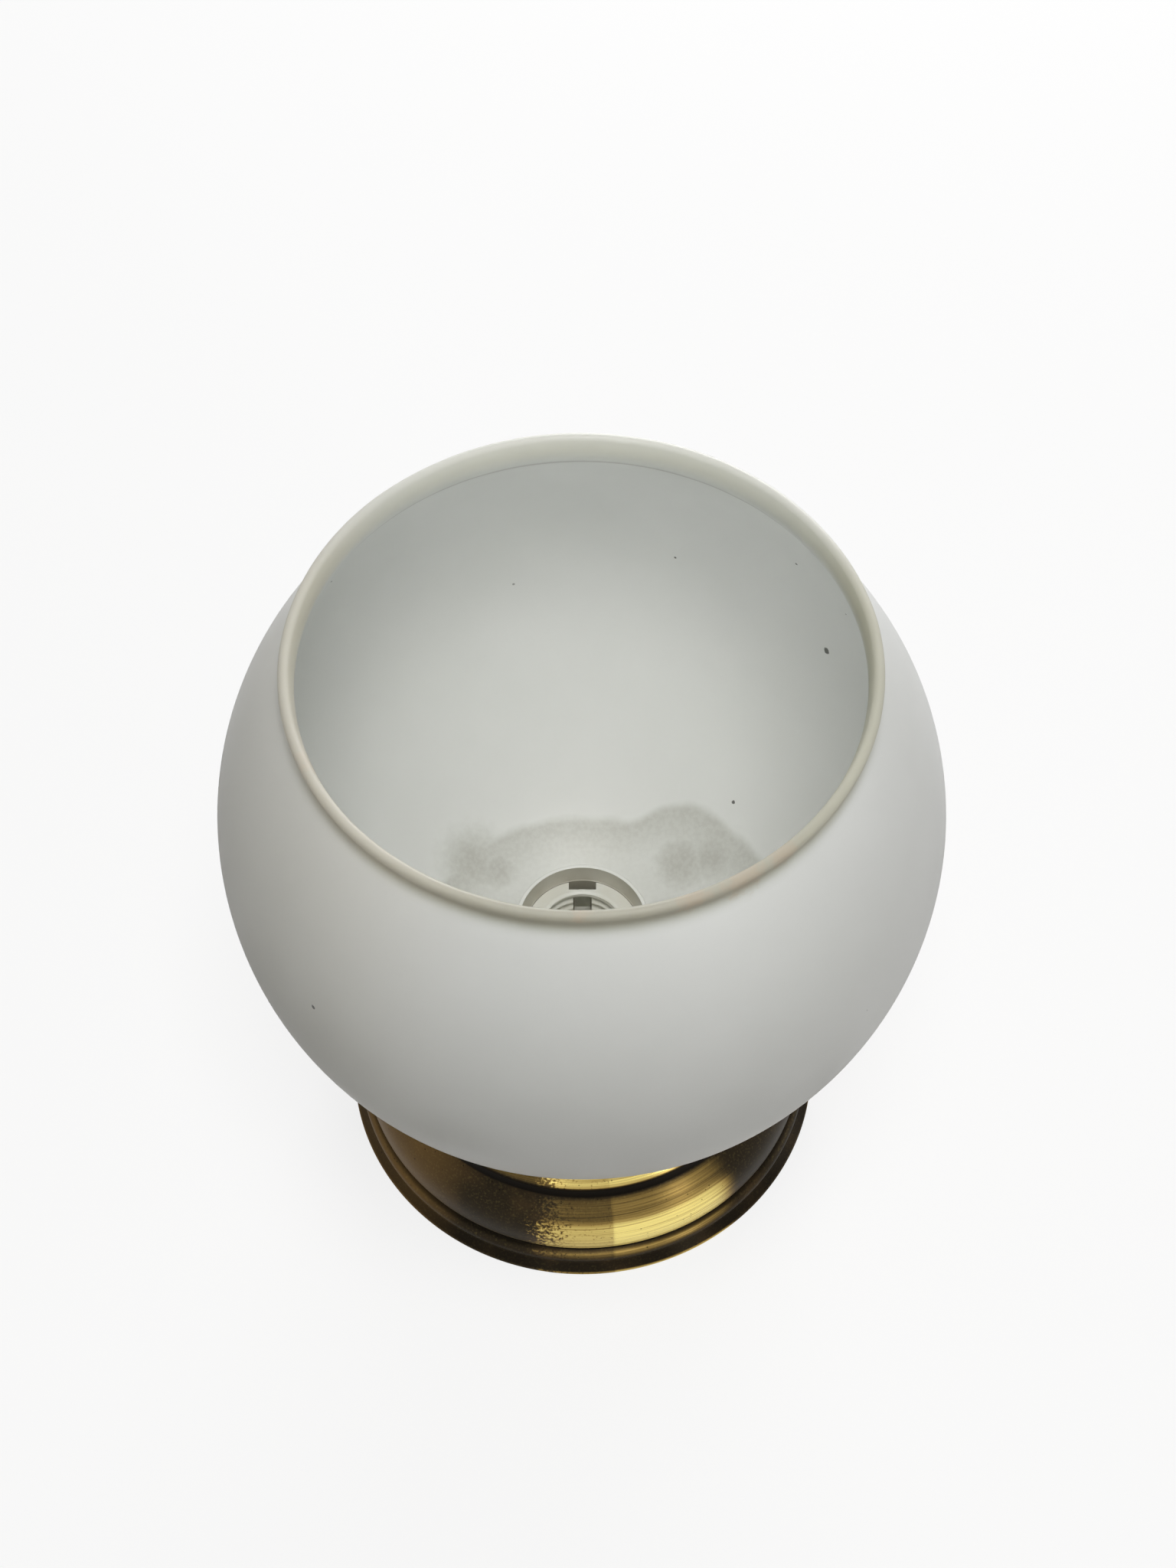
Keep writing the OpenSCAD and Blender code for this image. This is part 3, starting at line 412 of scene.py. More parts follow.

# %% [markdown]
# ## Specks and satin
#
# A thin grey line of painted shade sits in the crease under the lip, inside. Small flies
# leave brown specks, a few of them placed where the photograph shows them and the rest
# strewn by a Voronoi pattern. Last comes the satin of the etched face, which is only
# roughness and a very fine bump.

# %% Add the specks and finish the glass
SEAM_Z, SEAM_HALF, SEAM_SOFT, SEAM_DEPTH = 210.1, 0.3, 1.4, 0.42
FLY_TINT, FLY_DEPTH = (0.05, 0.045, 0.035), 0.85
FLY_MARKS = [(72.4, 63.9, 138.2, 1.1), (61.5, 71.9, 169, 0.6), (27.9, 92.9, 146.2, 0.5),
             (75.6, 59, 162, 0.4), (-70.7, 60.4, 175.2, 0.4), (-79.8, 52.9, 163.1, 0.4),
             (47.3, 49.6, 78.9, 0.7), (-68.2, -70.8, 165.9, 0.7)]

# seam: a painted shade in the crease under the lip, inside the globe.
seam = times(tree, stripe(tree, xyz[2], SEAM_Z, SEAM_HALF, SEAM_SOFT), inside_wall)
colour = mix(tree, either(tree, dark_marks, times(tree, seam, SEAM_DEPTH)), colour, BOWL_DARK_TINT)
fly = use(tree, specks, {"Place": place, "Scale": 95.0, "Size": 0.05, "Share": 0.05})["Mask"]
fly = either(tree, times(tree, fly, 0.6), placed(tree, place, FLY_MARKS, 0.4, 0.5))
colour = mix(tree, times(tree, fly, FLY_DEPTH), colour, FLY_TINT)
feed(tree, shader["Base Color"], colour)
feed(tree, shader["Roughness"], ease(tree, melt["Raw"], 0.3, 0.7, 0.42, 0.55))
satin = patches(tree, place, 900.0, 0.2, 0.8)["Raw"]
feed(tree, shader["Normal"], relief(tree, satin, 0.00002, 0.35))
print("finish", opal_glass.name, "with", len(FLY_MARKS), "placed specks")

# %% [markdown]
# ## Antique brass
#
# The canopy was darkened in a bath, then rubbed back while it turned. The rubbing reached
# the beads, the edges and the belly of the dome, and left the hollows brown to black. So
# the finish runs from a dark patina over honey to bright brass. One mask says how bright
# the brass is: partly how far the rubbing went, and partly painted highlights, bright brass
# put where lamps would be reflected on the front of the canopy. Fine turned lines break
# that mask up. Spun metal also stretches its highlights across the lines, which is what
# the anisotropic setting does.

# %% Fill a shader with spun brass
PATINA, BRIGHT_BRASS = (0.024, 0.018, 0.011), (0.94, 0.78, 0.26)
TARNISH, SOOT, HONEY = (0.075, 0.046, 0.020), (0.005, 0.004, 0.003), (0.33, 0.215, 0.06)
FINE_LINES, BROAD_LINES = 2200.0, 900.0
TARNISH_DEPTH, GLINT_DEPTH, SPOT_DEPTH = 0.5, 0.03, 0.6
SPUN = {"Metallic": 1.0, "Anisotropic": 0.9, "Anisotropic_Rotation": 0.25}


def spun(tree, shader, place, rub_and_highlight, patina, bright_tint, soot=0.0):
    """Fills in a Principled shader for spun brass, from a mask of rubbed wear and painted highlights."""
    fine = use(tree, turned, {"Place": place, "Scale": FINE_LINES, "Drift": 1.0})["Height"]
    broad = use(tree, turned, {"Place": place, "Scale": BROAD_LINES, "Drift": 0.7})["Height"]
    streak = ease(tree, sum_up(tree, "ADD", fine, broad), 0.75, 1.15, 0.5, 1.0)
    # The mask is rubbed wear, and on the canopy the painted highlights as well.
    worn_and_highlit = times(tree, rub_and_highlight, streak)
    stained = patches(tree, place, 60.0, 0.45, 0.7, 5.0)["Mask"]
    base = mix(tree, times(tree, stained, TARNISH_DEPTH), patina, TARNISH)
    colour = mix(tree, ease(tree, worn_and_highlit, 0.0, 0.45), base, HONEY)
    colour = mix(tree, ease(tree, worn_and_highlit, 0.2, 1.0), colour, bright_tint)
    glint = patches(tree, place, 1400.0, 0.5, 0.75)["Mask"]
    colour = mix(tree, times(tree, glint, GLINT_DEPTH), colour, bright_tint)
    spots = use(tree, specks, {"Place": place, "Scale": 900.0, "Size": 0.26, "Share": 0.2})["Mask"]
    colour = mix(tree, times(tree, spots, SPOT_DEPTH), colour, SOOT)
    feed(tree, shader["Base Color"], mix(tree, soot, colour, SOOT))
    feed(tree, shader["Roughness"], ease(tree, worn_and_highlit, 0.0, 1.0, 0.36, 0.25))
    feed(tree, shader["Tangent"], put(tree, "Tangent", direction_type="RADIAL", axis="Z").outputs[0])
    feed(tree, shader["Normal"], relief(tree, fine, 0.00003, 0.5))


print("spun brass from", PATINA, "to", BRIGHT_BRASS)

# %% [markdown]
# ## Painted highlights and rubbing round the circle
#
# Two painted highlights lie on the front of the dome: a small one, and a wide one to its
# right. They are bright brass colour put where lamps would be reflected. The edges of the
# small one crumble, so a little noise is added to its direction before it is measured. The
# sides and the back take slow, soft patches of rubbed wear of their own.

# %% Rub and paint highlights round the circle
CRUMB_SCALE, CRUMB = 1100.0, 0.10
SMALL_HIGHLIGHT, DRIFT_PATCH = 0.6, 0.6

antique_brass, tree, shader, place = new_finish("antique_brass", **SPUN)
xyz, around, radius = polar(tree, place)
crumbs = put(tree, "TexNoise", {"Vector": place, "Scale": CRUMB_SCALE, "Detail": 2.0}).outputs["Color"]
crumbs = put(tree, "VectorMath", {0: crumbs, 1: (0.5, 0.5, 0.5)}, operation="SUBTRACT").outputs[0]
crumbs = put(tree, "VectorMath", {0: crumbs, "Scale": CRUMB}, operation="SCALE").outputs[0]
rough_around = put(tree, "VectorMath", {0: around, 1: crumbs}, operation="ADD").outputs[0]
# The two wedges are painted highlights; drift adds the rubbed patches at the sides and back.
wide_highlight = times(tree, facing(tree, around, 40, 31, 3), facing(tree, around, 14, 16, 16))
highlights_and_wear = either(tree, times(tree, facing(tree, rough_around, 4, 7, 12), SMALL_HIGHLIGHT), wide_highlight)
drift = patches(tree, around, 1.6, 0.42, 0.72, 2.0)["Mask"]
drift = times(tree, drift, ease(tree, facing(tree, around, 0, 60, 25), 0.0, 1.0, 1.0, 0.0))
highlights_and_wear = either(tree, highlights_and_wear, times(tree, drift, DRIFT_PATCH))
print("nodes so far", len(tree.nodes))

# %% [markdown]
# ## How high the rubbing and the painted highlights reach
#
# The second half of the mask follows the canopy's line, from the foot to the upper tier.
# The belly and the upper tier take most of it, the foot's roll and the bead catch a thread,
# and the grooves keep their soot. Belly, brow, tier, roll and bead are held back by the
# first half, so the painted highlights take the height of the belly and the tier and a thin
# bright thread on the roll and the bead. Each place is a band at its own height, or begins
# and ends at its own distance from the axis.

# %% Rub and paint highlights up the line, and fill in the brass
BELLY, BROW, DOME_FOOT = (16.0, 4.5, 6.5), (25.0, 3.0, 2.0), (11.4, 0.2, 0.6)
HOLLOW, GROOVE, UNDER_BEAD = (31.2, 1.4, 0.8), (9.3, 0.8, 1.0), (2.5, 0.9, 0.8)
BROW_SHINE, DOME_FOOT_RUB, ROLL_SHINE, BEAD_SHINE, TIER_SHINE = 0.3, 0.10, 0.7, 0.07, 0.9
TIER_AT, ROLL_AT, BEAD_AT, BEAD_UP = (0.0325, 0.0340), (0.0744, 0.0748), (0.0719, 0.0725), (0.0045, 0.006)
AMBER, SOOT_DEPTH = (0.20, 0.115, 0.035), 0.9

height = xyz[2]
belly = either(tree, stripe(tree, height, *BELLY), times(tree, stripe(tree, height, *BROW), BROW_SHINE))
# Painted highlights: the belly, brow, tier and edges are bright mainly inside the two wedges.
rub_and_highlight = times(tree, belly, ease(tree, highlights_and_wear, 0.0, 1.0, 0.02, 0.95))
tier = ease(tree, height, *TIER_AT, 0.0, TIER_SHINE)
rub_and_highlight = either(tree, rub_and_highlight, times(tree, tier, ease(tree, highlights_and_wear, 0.1, 0.8, 0.2, 1.0)))
roll = ease(tree, radius, *ROLL_AT, 0.0, ROLL_SHINE)
bead = times(tree, ease(tree, radius, *BEAD_AT, 0.0, BEAD_SHINE), ease(tree, height, *BEAD_UP))
edges = times(tree, either(tree, roll, bead), ease(tree, highlights_and_wear, 0.2, 0.9, 0.10, 1.0))
rub_and_highlight = either(tree, rub_and_highlight, edges)
rub_and_highlight = either(tree, rub_and_highlight, times(tree, stripe(tree, height, *DOME_FOOT), DOME_FOOT_RUB))
deep = either(tree, stripe(tree, height, *HOLLOW), stripe(tree, height, *GROOVE))
deep = either(tree, deep, times(tree, stripe(tree, height, *UNDER_BEAD), 0.7))
rub_and_highlight = times(tree, rub_and_highlight, invert(tree, deep))
amber = times(tree, facing(tree, around, -68, 16, 22), ease(tree, drift, 0.0, 1.0, 0.45, 0.9))
patina = mix(tree, amber, PATINA, AMBER)
spun(tree, shader, place, rub_and_highlight, patina, BRIGHT_BRASS, times(tree, deep, SOOT_DEPTH))
print("finish", antique_brass.name, "with", len(tree.nodes), "nodes")

# %% [markdown]
# ## The quieter brasses
#
# The cup under the glass and the washers of the side screws were darkened in the same
# bath. The inside of the canopy was never rubbed and never seen, so it is plain spun brass
# with a dull bloom.

# %% Mix the cup's brass and the canopy's inside
INSIDE_DARK, INSIDE_LIGHT = (0.32, 0.24, 0.11), (0.5, 0.385, 0.16)
CUP_RUB = 0.5

cup_brass, tree, shader, place = new_finish("cup_brass", **SPUN)
rub_and_highlight = patches(tree, place, 30.0, 0.35, 0.7)["Mask"]
spun(tree, shader, place, times(tree, rub_and_highlight, CUP_RUB), PATINA, BRIGHT_BRASS)

canopy_inside, tree, shader, place = new_finish("canopy_inside", **SPUN)
rub_and_highlight = patches(tree, place, 40.0, 0.3, 0.6)["Mask"]
spun(tree, shader, place, rub_and_highlight, INSIDE_DARK, INSIDE_LIGHT)
print("finishes", cup_brass.name, canopy_inside.name)

# %% [markdown]
# ## The smaller finishes
#
# The lampholder is white plastic round a ceramic insert. The hidden hardware is zinc
# plated steel, clean brass, rubber, fibre and coloured lead insulation. Each gets a
# grain at its own scale, so none of them is one flat colour. Two functions are enough: one
# for things that were moulded or fired, and one for bare or plated metal.

# %% Two kinds of plain finish
SPECK_SHADE, SPECK_DEPTH, HAIR_GLEAM, HAIR_DEPTH = 0.45, 0.5, 1.25, 0.4


def grained_finish(name, base, shade, scale, rough):
    """A moulded or fired surface: clouded colour, a little gloss change and fine relief."""
    material, tree, shader, place = new_finish(name)
    patch = patches(tree, place, scale, 0.35, 0.65)
    dark_marks = use(tree, specks, {"Place": place, "Scale": scale * 7, "Size": 0.3, "Share": 0.05})["Mask"]
    colour = mix(tree, patch["Mask"], base, shade)
    colour = mix(tree, times(tree, dark_marks, SPECK_DEPTH), colour, tuple(v * SPECK_SHADE for v in shade))
    feed(tree, shader["Base Color"], colour)
    feed(tree, shader["Roughness"], ease(tree, patch["Raw"], 0.3, 0.7, rough, rough + 0.12))
    skin = patches(tree, place, 1800.0, 0.2, 0.8)["Raw"]
    feed(tree, shader["Normal"], relief(tree, skin, 0.00002, 0.4))
    return material


def metal_finish(name, base, shade, scale, rough):
    """Plated or bare metal: clouded colour, drawn lines and hair scratches."""
    material, tree, shader, place = new_finish(name, Metallic=1.0)
    patch = patches(tree, place, scale, 0.38, 0.64)
    hairs = use(tree, scratches, {"Place": place, "Scale": 260.0, "Width": 0.01, "Spread": 0.5})["Mask"]
    gleam = tuple(min(1, v * HAIR_GLEAM) for v in base)
    colour = mix(tree, patch["Mask"], base, shade)
    feed(tree, shader["Base Color"], mix(tree, times(tree, hairs, HAIR_DEPTH), colour, gleam))
    feed(tree, shader["Roughness"], ease(tree, patch["Raw"], 0.3, 0.7, rough, rough + 0.15))
    feed(tree, shader["Normal"], relief(tree, hairs, 0.00001, 0.5))
    return material


print("two kinds of plain finish ready")

# %% [markdown]
# ## The sleeve's plastic
#
# The sleeve is the whitest part of the lampholder, and its rim is the pale ring that shows
# inside the globe. The bore under that rim is painted darker and browner, a painted shade
# for the deep recess that little light reaches. The painted shade is a mask by distance
# from the axis and by height, so it stays there.

# %% Mix the sleeve's plastic, white outside and shaded in its bore
SLEEVE_WHITE, SLEEVE_CLOUD, BORE_SHADE = (0.93, 0.93, 0.89), (0.90, 0.90, 0.85), (0.43, 0.40, 0.32)
SHADE_R, SHADE_Z = (0.0188, 0.0191), (0.0892, 0.0894)

sleeve_plastic, tree, shader, place = new_finish("sleeve_plastic")
xyz, _, radius = polar(tree, place)
patch = patches(tree, place, 70.0, 0.35, 0.65)
# bore: the painted shade in the recess under the rim.
bore = times(tree, ease(tree, radius, *SHADE_R, 1.0, 0.0), ease(tree, xyz[2], *SHADE_Z, 1.0, 0.0))
bore = times(tree, bore, ease(tree, patch["Raw"], 0.3, 0.7, 0.75, 0.95))
colour = mix(tree, patch["Mask"], SLEEVE_WHITE, SLEEVE_CLOUD)
feed(tree, shader["Base Color"], mix(tree, bore, colour, BORE_SHADE))
feed(tree, shader["Roughness"], ease(tree, patch["Raw"], 0.3, 0.7, 0.30, 0.42))
skin = patches(tree, place, 1500.0, 0.2, 0.8)["Raw"]
feed(tree, shader["Normal"], relief(tree, skin, 0.00002, 0.4))
print("finish", sleeve_plastic.name)

# %% [markdown]
# ## A shelf of finishes
#
# The other finishes differ only in their numbers, so each is one row of a table. A row
# gives the main colour, a second colour for the clouds, how fine the grain is, and how
# rough the surface is. The leads get the colours of mains wiring.

# %% Mix the rest: main colour, second colour, grain per metre, roughness
MOULDED = {
    "white_holder": ((0.78, 0.78, 0.73), (0.72, 0.71, 0.64), 70, 0.34),
    "insert_ceramic": ((0.88, 0.88, 0.82), (0.83, 0.82, 0.74), 120, 0.40),
    "base_ceramic": ((0.76, 0.74, 0.68), (0.69, 0.66, 0.58), 160, 0.5),
    "gasket_rubber": ((0.035, 0.035, 0.033), (0.06, 0.058, 0.054), 240, 0.62),
    "slip_fibre": ((0.52, 0.47, 0.38), (0.42, 0.37, 0.29), 420, 0.7),
    "block_plastic": ((0.72, 0.69, 0.58), (0.66, 0.62, 0.5), 110, 0.42),
    "bush_plastic": ((0.02, 0.02, 0.02), (0.032, 0.032, 0.032), 260, 0.4),
    "lead_brown": ((0.10, 0.045, 0.02), (0.13, 0.06, 0.028), 200, 0.4),
    "lead_blue": ((0.03, 0.10, 0.33), (0.04, 0.13, 0.38), 200, 0.4),
    "lead_green": ((0.05, 0.25, 0.06), (0.07, 0.3, 0.08), 200, 0.4),
    "lead_yellow": ((0.68, 0.55, 0.05), (0.6, 0.48, 0.05), 200, 0.4),
}
METALS = {
    "steel_zinc": ((0.56, 0.57, 0.56), (0.42, 0.43, 0.4), 210, 0.32),
    "screw_brass": ((0.55, 0.41, 0.17), (0.33, 0.24, 0.1), 160, 0.26),
    "contact_brass": ((0.66, 0.52, 0.24), (0.5, 0.37, 0.16), 230, 0.28),
}
shelf = {name: grained_finish(name, *row) for name, row in MOULDED.items()}
shelf.update({name: metal_finish(name, *row) for name, row in METALS.items()})
shelf["cup_brass"] = cup_brass
print("finishes on the shelf", len(shelf))

# %% [markdown]
# ## Lines, lathe and tube
#
# Almost every part of a lamp is round. A lathe turns a line of radii and heights about
# the z axis, which is how the spinner made the canopy. Corners of the line are rounded
# first, because a real edge always catches a thread of light. Leads are tubes along a
# smooth path. Holes and notches, which no lathe makes, are cut with a boolean.

# %% Draw lines
NEARLY_STRAIGHT, CORNER_SHARE = math.radians(150), 0.45


def arc(cx, cz, r, start, stop, steps):
    """Points on an arc, angles in degrees."""
    turn = [math.radians(start + (stop - start) * i / steps) for i in range(steps + 1)]
    return [(cx + r * math.cos(a), cz + r * math.sin(a)) for a in turn]


def rounded(line, size, steps=4):
    """The open line with each sharp corner cut back by up to size and rounded."""
    out = [line[0]]
    for before, here, after in zip(line, line[1:], line[2:]):
        corner = Vector(here)
        back, on = Vector(before) - corner, Vector(after) - corner
        if back.angle(on, math.pi) > NEARLY_STRAIGHT:
            out.append(here)
            continue
        a = corner + back.normalized() * min(size, back.length * CORNER_SHARE)
        b = corner + on.normalized() * min(size, on.length * CORNER_SHARE)
        for k in range(steps + 1):
            t = k / steps
            out.append(tuple(a * (1 - t) ** 2 + corner * 2 * t * (1 - t) + b * t ** 2))
    return out + [line[-1]]


print("line helpers ready")

# %% Turn a skin on the lathe
SHARP = math.radians(38)


def outward_mesh(name, vertices, faces):
    """A mesh from points in millimetres, with every face turned outwards."""
    mesh = bpy.data.meshes.new(name)
    mesh.from_pydata([[v * MM for v in p] for p in vertices], [], faces)
    shape = bmesh.new()
    shape.from_mesh(mesh)
    bmesh.ops.recalc_face_normals(shape, faces=shape.faces)
    shape.to_mesh(mesh)
    shape.free()
    return mesh


def make_piece(name, vertices, faces, body, finishes, paint=None):
    """A piece that rides on a body of the lamp, with one finish or one for each painted face."""
    mesh = outward_mesh(name, vertices, faces)
    for finish in finishes:
        mesh.materials.append(finish)
    if paint:
        mesh.polygons.foreach_set("material_index", paint)
    mesh.shade_smooth()
    mesh.set_sharp_from_angle(angle=SHARP)
    piece = bpy.data.objects.new(name, mesh)
    scene.collection.objects.link(piece)
    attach(piece, body)
    return piece


def lathe(name, line, body, finishes, steps=192, wave=None, paint=None):
    """Turns a closed line of (radius, height) into a ring. wave(r, z, angle) moves points."""
    rows, vertices, faces = len(line), [], []
    for r, z in line:
        for k in range(steps):
            angle = 2 * math.pi * k / steps
            dr, dz = wave(r, z, angle) if wave else (0, 0)
            vertices.append(((r + dr) * math.cos(angle), (r + dr) * math.sin(angle), z + dz))
    for i in range(rows):
        for k in range(steps):
            j, n = (i + 1) % rows, (k + 1) % steps
            faces.append((i * steps + k, i * steps + n, j * steps + n, j * steps + k))
    shades = [paint(i) for i in range(rows) for _ in range(steps)] if paint else None
    return make_piece(name, vertices, faces, body, finishes, shades)


print("lathe ready")

# %% Draw a tube along a smooth path
def smooth_path(points, steps):
    """A curve through the points, with the given number of steps between each two."""
    out = []
    for i in range(len(points) - 1):
        a, b = Vector(points[max(i - 1, 0)]), Vector(points[i])
        c, d = Vector(points[i + 1]), Vector(points[min(i + 2, len(points) - 1)])
        for k in range(steps):
            t = k / steps
            out.append(0.5 * (2 * b + (c - a) * t + (2 * a - 5 * b + 4 * c - d) * t * t
                              + (3 * b - a - 3 * c + d) * t ** 3))
    return out + [Vector(points[-1])]


def tube(name, path, r, body, finishes, sides=20, paint=None):
    """A round skin along the path, with closed ends."""
    vertices, faces, side = [], [], Vector((1, 0, 0))
    for i, here in enumerate(path):
        along = (path[min(i + 1, len(path) - 1)] - path[max(i - 1, 0)]).normalized()
        side = (side - along * side.dot(along)).normalized()
        other = along.cross(side)
        for k in range(sides):
            a = 2 * math.pi * k / sides
            vertices.append(here + side * r * math.cos(a) + other * r * math.sin(a))
    for i in range(len(path) - 1):
        for k in range(sides):
            n = (k + 1) % sides
            faces.append((i * sides + k, i * sides + n, (i + 1) * sides + n, (i + 1) * sides + k))
    shades = [paint(k) for _ in range(len(path) - 1) for k in range(sides)] + [0, 0] if paint else None
    faces += [tuple(range(sides)), tuple(range(len(vertices) - sides, len(vertices)))]
    return make_piece(name, vertices, faces, body, finishes, shades)


print("tube ready")

# %% Cut one shape out of another
def cut(piece, tool):
    """Takes the tool's shape out of the piece and keeps the result as plain mesh."""
    step = piece.modifiers.new("cut", "BOOLEAN")
    step.operation = "DIFFERENCE"
    step.solver = "EXACT"
    step.object = tool
    graph = bpy.context.evaluated_depsgraph_get()
    mesh = bpy.data.meshes.new_from_object(piece.evaluated_get(graph))
    piece.modifiers.clear()
    piece.data = mesh
    mesh.shade_smooth()
    mesh.set_sharp_from_angle(angle=SHARP)
    bpy.data.objects.remove(tool)


def cutter(vertices, faces):
    """A loose shape in millimetres, only used to cut with."""
    made = bpy.data.objects.new("cutter", outward_mesh("cutter", vertices, faces))
    scene.collection.objects.link(made)
    return made


def box_cutter(low, high):
    """A box between two corners."""
    corners = [(x, y, z) for x in (low[0], high[0]) for y in (low[1], high[1]) for z in (low[2], high[2])]
    sides = [(0, 1, 3, 2), (4, 6, 7, 5), (0, 4, 5, 1), (2, 3, 7, 6), (0, 2, 6, 4), (1, 5, 7, 3)]
    return cutter(corners, sides)


def bar_cutter(x0, x1, z, r, sides=48):
    """A round bar along x at height z."""
    turns = [2 * math.pi * k / sides for k in range(sides)]
    vertices = [(x, r * math.cos(a), z + r * math.sin(a)) for x in (x0, x1) for a in turns]
    faces = [(k, (k + 1) % sides, sides + (k + 1) % sides, sides + k) for k in range(sides)]
    return cutter(vertices, faces + [tuple(range(sides)), tuple(range(sides, 2 * sides))])


print("cutters ready")

# %% [markdown]
# ## The globe
#
# The glass is blown into a mould, so the outside is a true sphere and the wall is three
# millimetres thick. At the mouth it turns up into a short flared lip. One closed line
# describes the outside, the rim and the inside, and the lathe turns it once. A slow
# ripple of a tenth of a millimetre keeps the lip from looking machined.

# %% Turn the glass
GLASS_T, FITTER_R = 3.0, 21.0
RIPPLE_WIDE, RIPPLE_HIGH = 0.16, 0.12
LIP_START_R, LIP_BEND, LIP_RISE, LIP_FLARE = 77.0, 5.0, 2.2, 15.0
lip_start_h = math.sqrt(GLOBE_R ** 2 - LIP_START_R ** 2)
lip_turn = math.degrees(math.asin(lip_start_h / GLOBE_R))
lip_x = LIP_START_R * (GLOBE_R + LIP_BEND) / GLOBE_R
lip_z = GLOBE_Z + lip_start_h * (GLOBE_R + LIP_BEND) / GLOBE_R


def glass_line():
    """Outside from the fitter hole up, over the rim, and down the inside."""
    flare = math.radians(LIP_FLARE)
    inner_r = GLOBE_R - GLASS_T
    start, stop = 180 + lip_turn, 180 - LIP_FLARE
    mid = LIP_BEND + GLASS_T / 2
    rim = (lip_x - mid * math.cos(flare) + LIP_RISE * math.sin(flare),
           lip_z + mid * math.sin(flare) + LIP_RISE * math.cos(flare))
    out_foot = -math.degrees(math.acos(FITTER_R / GLOBE_R))
    in_foot = -math.degrees(math.acos(FITTER_R / inner_r))
    return (arc(0, GLOBE_Z, GLOBE_R, out_foot, lip_turn, 90)
            + arc(lip_x, lip_z, LIP_BEND, start, stop, 12)[1:]
            + arc(*rim, GLASS_T / 2, -LIP_FLARE, 180 - LIP_FLARE, 12)
            + arc(lip_x, lip_z, LIP_BEND + GLASS_T, stop, start, 14)
            + arc(0, GLOBE_Z, inner_r, lip_turn, in_foot, 90)[1:])


def glass_ripple(r, z, angle):
    """How far the hot glass moved near the lip: a slow wave in width, a quicker one in height."""
    near = max(0.0, min(1.0, (z - 200) / 18))
    slow = Vector((math.cos(angle) * 2.2, math.sin(angle) * 2.2, z * 0.05))
    quick = Vector((math.cos(angle) * 9, math.sin(angle) * 9, z * 0.2))
    return (RIPPLE_WIDE * near * noise.noise(slow), RIPPLE_HIGH * near * noise.noise(quick))


globe = lathe("globe_glass", glass_line(), "shade", [opal_glass], 256, glass_ripple)
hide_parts("glass_shade")
print(globe.name, len(globe.data.polygons), "faces")

# %% [markdown]
# ## The canopy
#
# The canopy is one disc of thin brass, pressed over a wooden form while it spins. Its
# line goes up from the hem over a bead, a groove, the dome, a sharp step and the upper
# tier to the flat that carries the cup. The same line, shifted by the sheet's thickness,
# is the inside, and takes the duller finish. Two holes for the side screws are cut last.

# %% Turn the canopy
FOOT_R, CANOPY_H, SHEET_T, HEM_W, ROLL_R = 75.0, 45.0, 0.9, 2.4, 0.7
DOME_X, DOME_Z, DOME_R, DOME_TOP = 53.2, 14.0, 17.8, 57.0
BEAD_X, BEAD_Z, BEAD_R = 70.2, 5.6, 2.5
GROOVE_LINE = [(69.9, 8.3), (69.7, 9.2), (70.0, 10.1)]
TOP_FLAT_R, STEP_H, NIPPLE_HOLE_R = 33.0, 3.4, 5.2
SIDE_SCREW_Z, SIDE_HOLE_R, HOLE_FROM, HOLE_TO = 16.0, 2.3, 60, 80
STEP_BACK, STEP_RISE, STEP_LEAN = 0.7, 0.4, 0.6
TIER_BACK, TIER_UP, EDGE_ROUND = 1.6, 1.0, 0.25
step_x = DOME_X + DOME_R * math.cos(math.radians(DOME_TOP)) - STEP_BACK
step_z = DOME_Z + DOME_R * math.sin(math.radians(DOME_TOP)) + STEP_RISE


def canopy_line(depth, fine):
    """The spun line at a depth below the outer face."""
    edge = depth * 0.7
    r1, z1, z0 = step_x - TIER_BACK - edge, step_z + STEP_H + TIER_UP - edge, CANOPY_H - depth
    tier = ((r1 - TOP_FLAT_R) ** 2 + (z0 - z1) ** 2) / (2 * (z0 - z1))
    first = math.degrees(math.acos((r1 - TOP_FLAT_R) / tier))
    return (arc(BEAD_X, BEAD_Z, BEAD_R - depth, -40, 75, 14 * fine)
            + [(r - depth, z) for r, z in GROOVE_LINE]
            + arc(DOME_X, DOME_Z, DOME_R - depth, -10, DOME_TOP, 24 * fine)
            + [(step_x - depth, step_z - depth * 0.4),
               (step_x - STEP_LEAN - depth, step_z + STEP_H - depth * 0.4)]
            + arc(TOP_FLAT_R, z0 - tier, tier, first, 90, 24)
            + [(NIPPLE_HOLE_R, z0)])


foot = [(FOOT_R - HEM_W, 0), (FOOT_R - ROLL_R, 0)] + arc(FOOT_R - ROLL_R, ROLL_R, ROLL_R, -60, 60, 6)
outside = rounded(foot + canopy_line(0, 2), EDGE_ROUND, 3)
inside = canopy_line(SHEET_T, 1)[::-1] + [(FOOT_R - HEM_W - 0.1, 1.4), (FOOT_R - HEM_W, 0.7)]
canopy = lathe("canopy_shell", outside + inside, "mount",
               [antique_brass, canopy_inside], 256, paint=lambda row: int(row >= len(outside)))
for side in (-1, 1):
    cut(canopy, bar_cutter(side * HOLE_FROM, side * HOLE_TO, SIDE_SCREW_Z, SIDE_HOLE_R))
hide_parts("canopy")
print(canopy.name, len(canopy.data.polygons), "faces")

# %% [markdown]
# ## The lampholder
#
# The sleeve and the insert carry real threads: the outer one takes the clamping ring,
# the inner one takes the lamp. A lathe can cut a thread if each point of the line also
# moves in and out. The wave that moves it repeats at each pitch of height, and climbs by
# one pitch in a full turn.

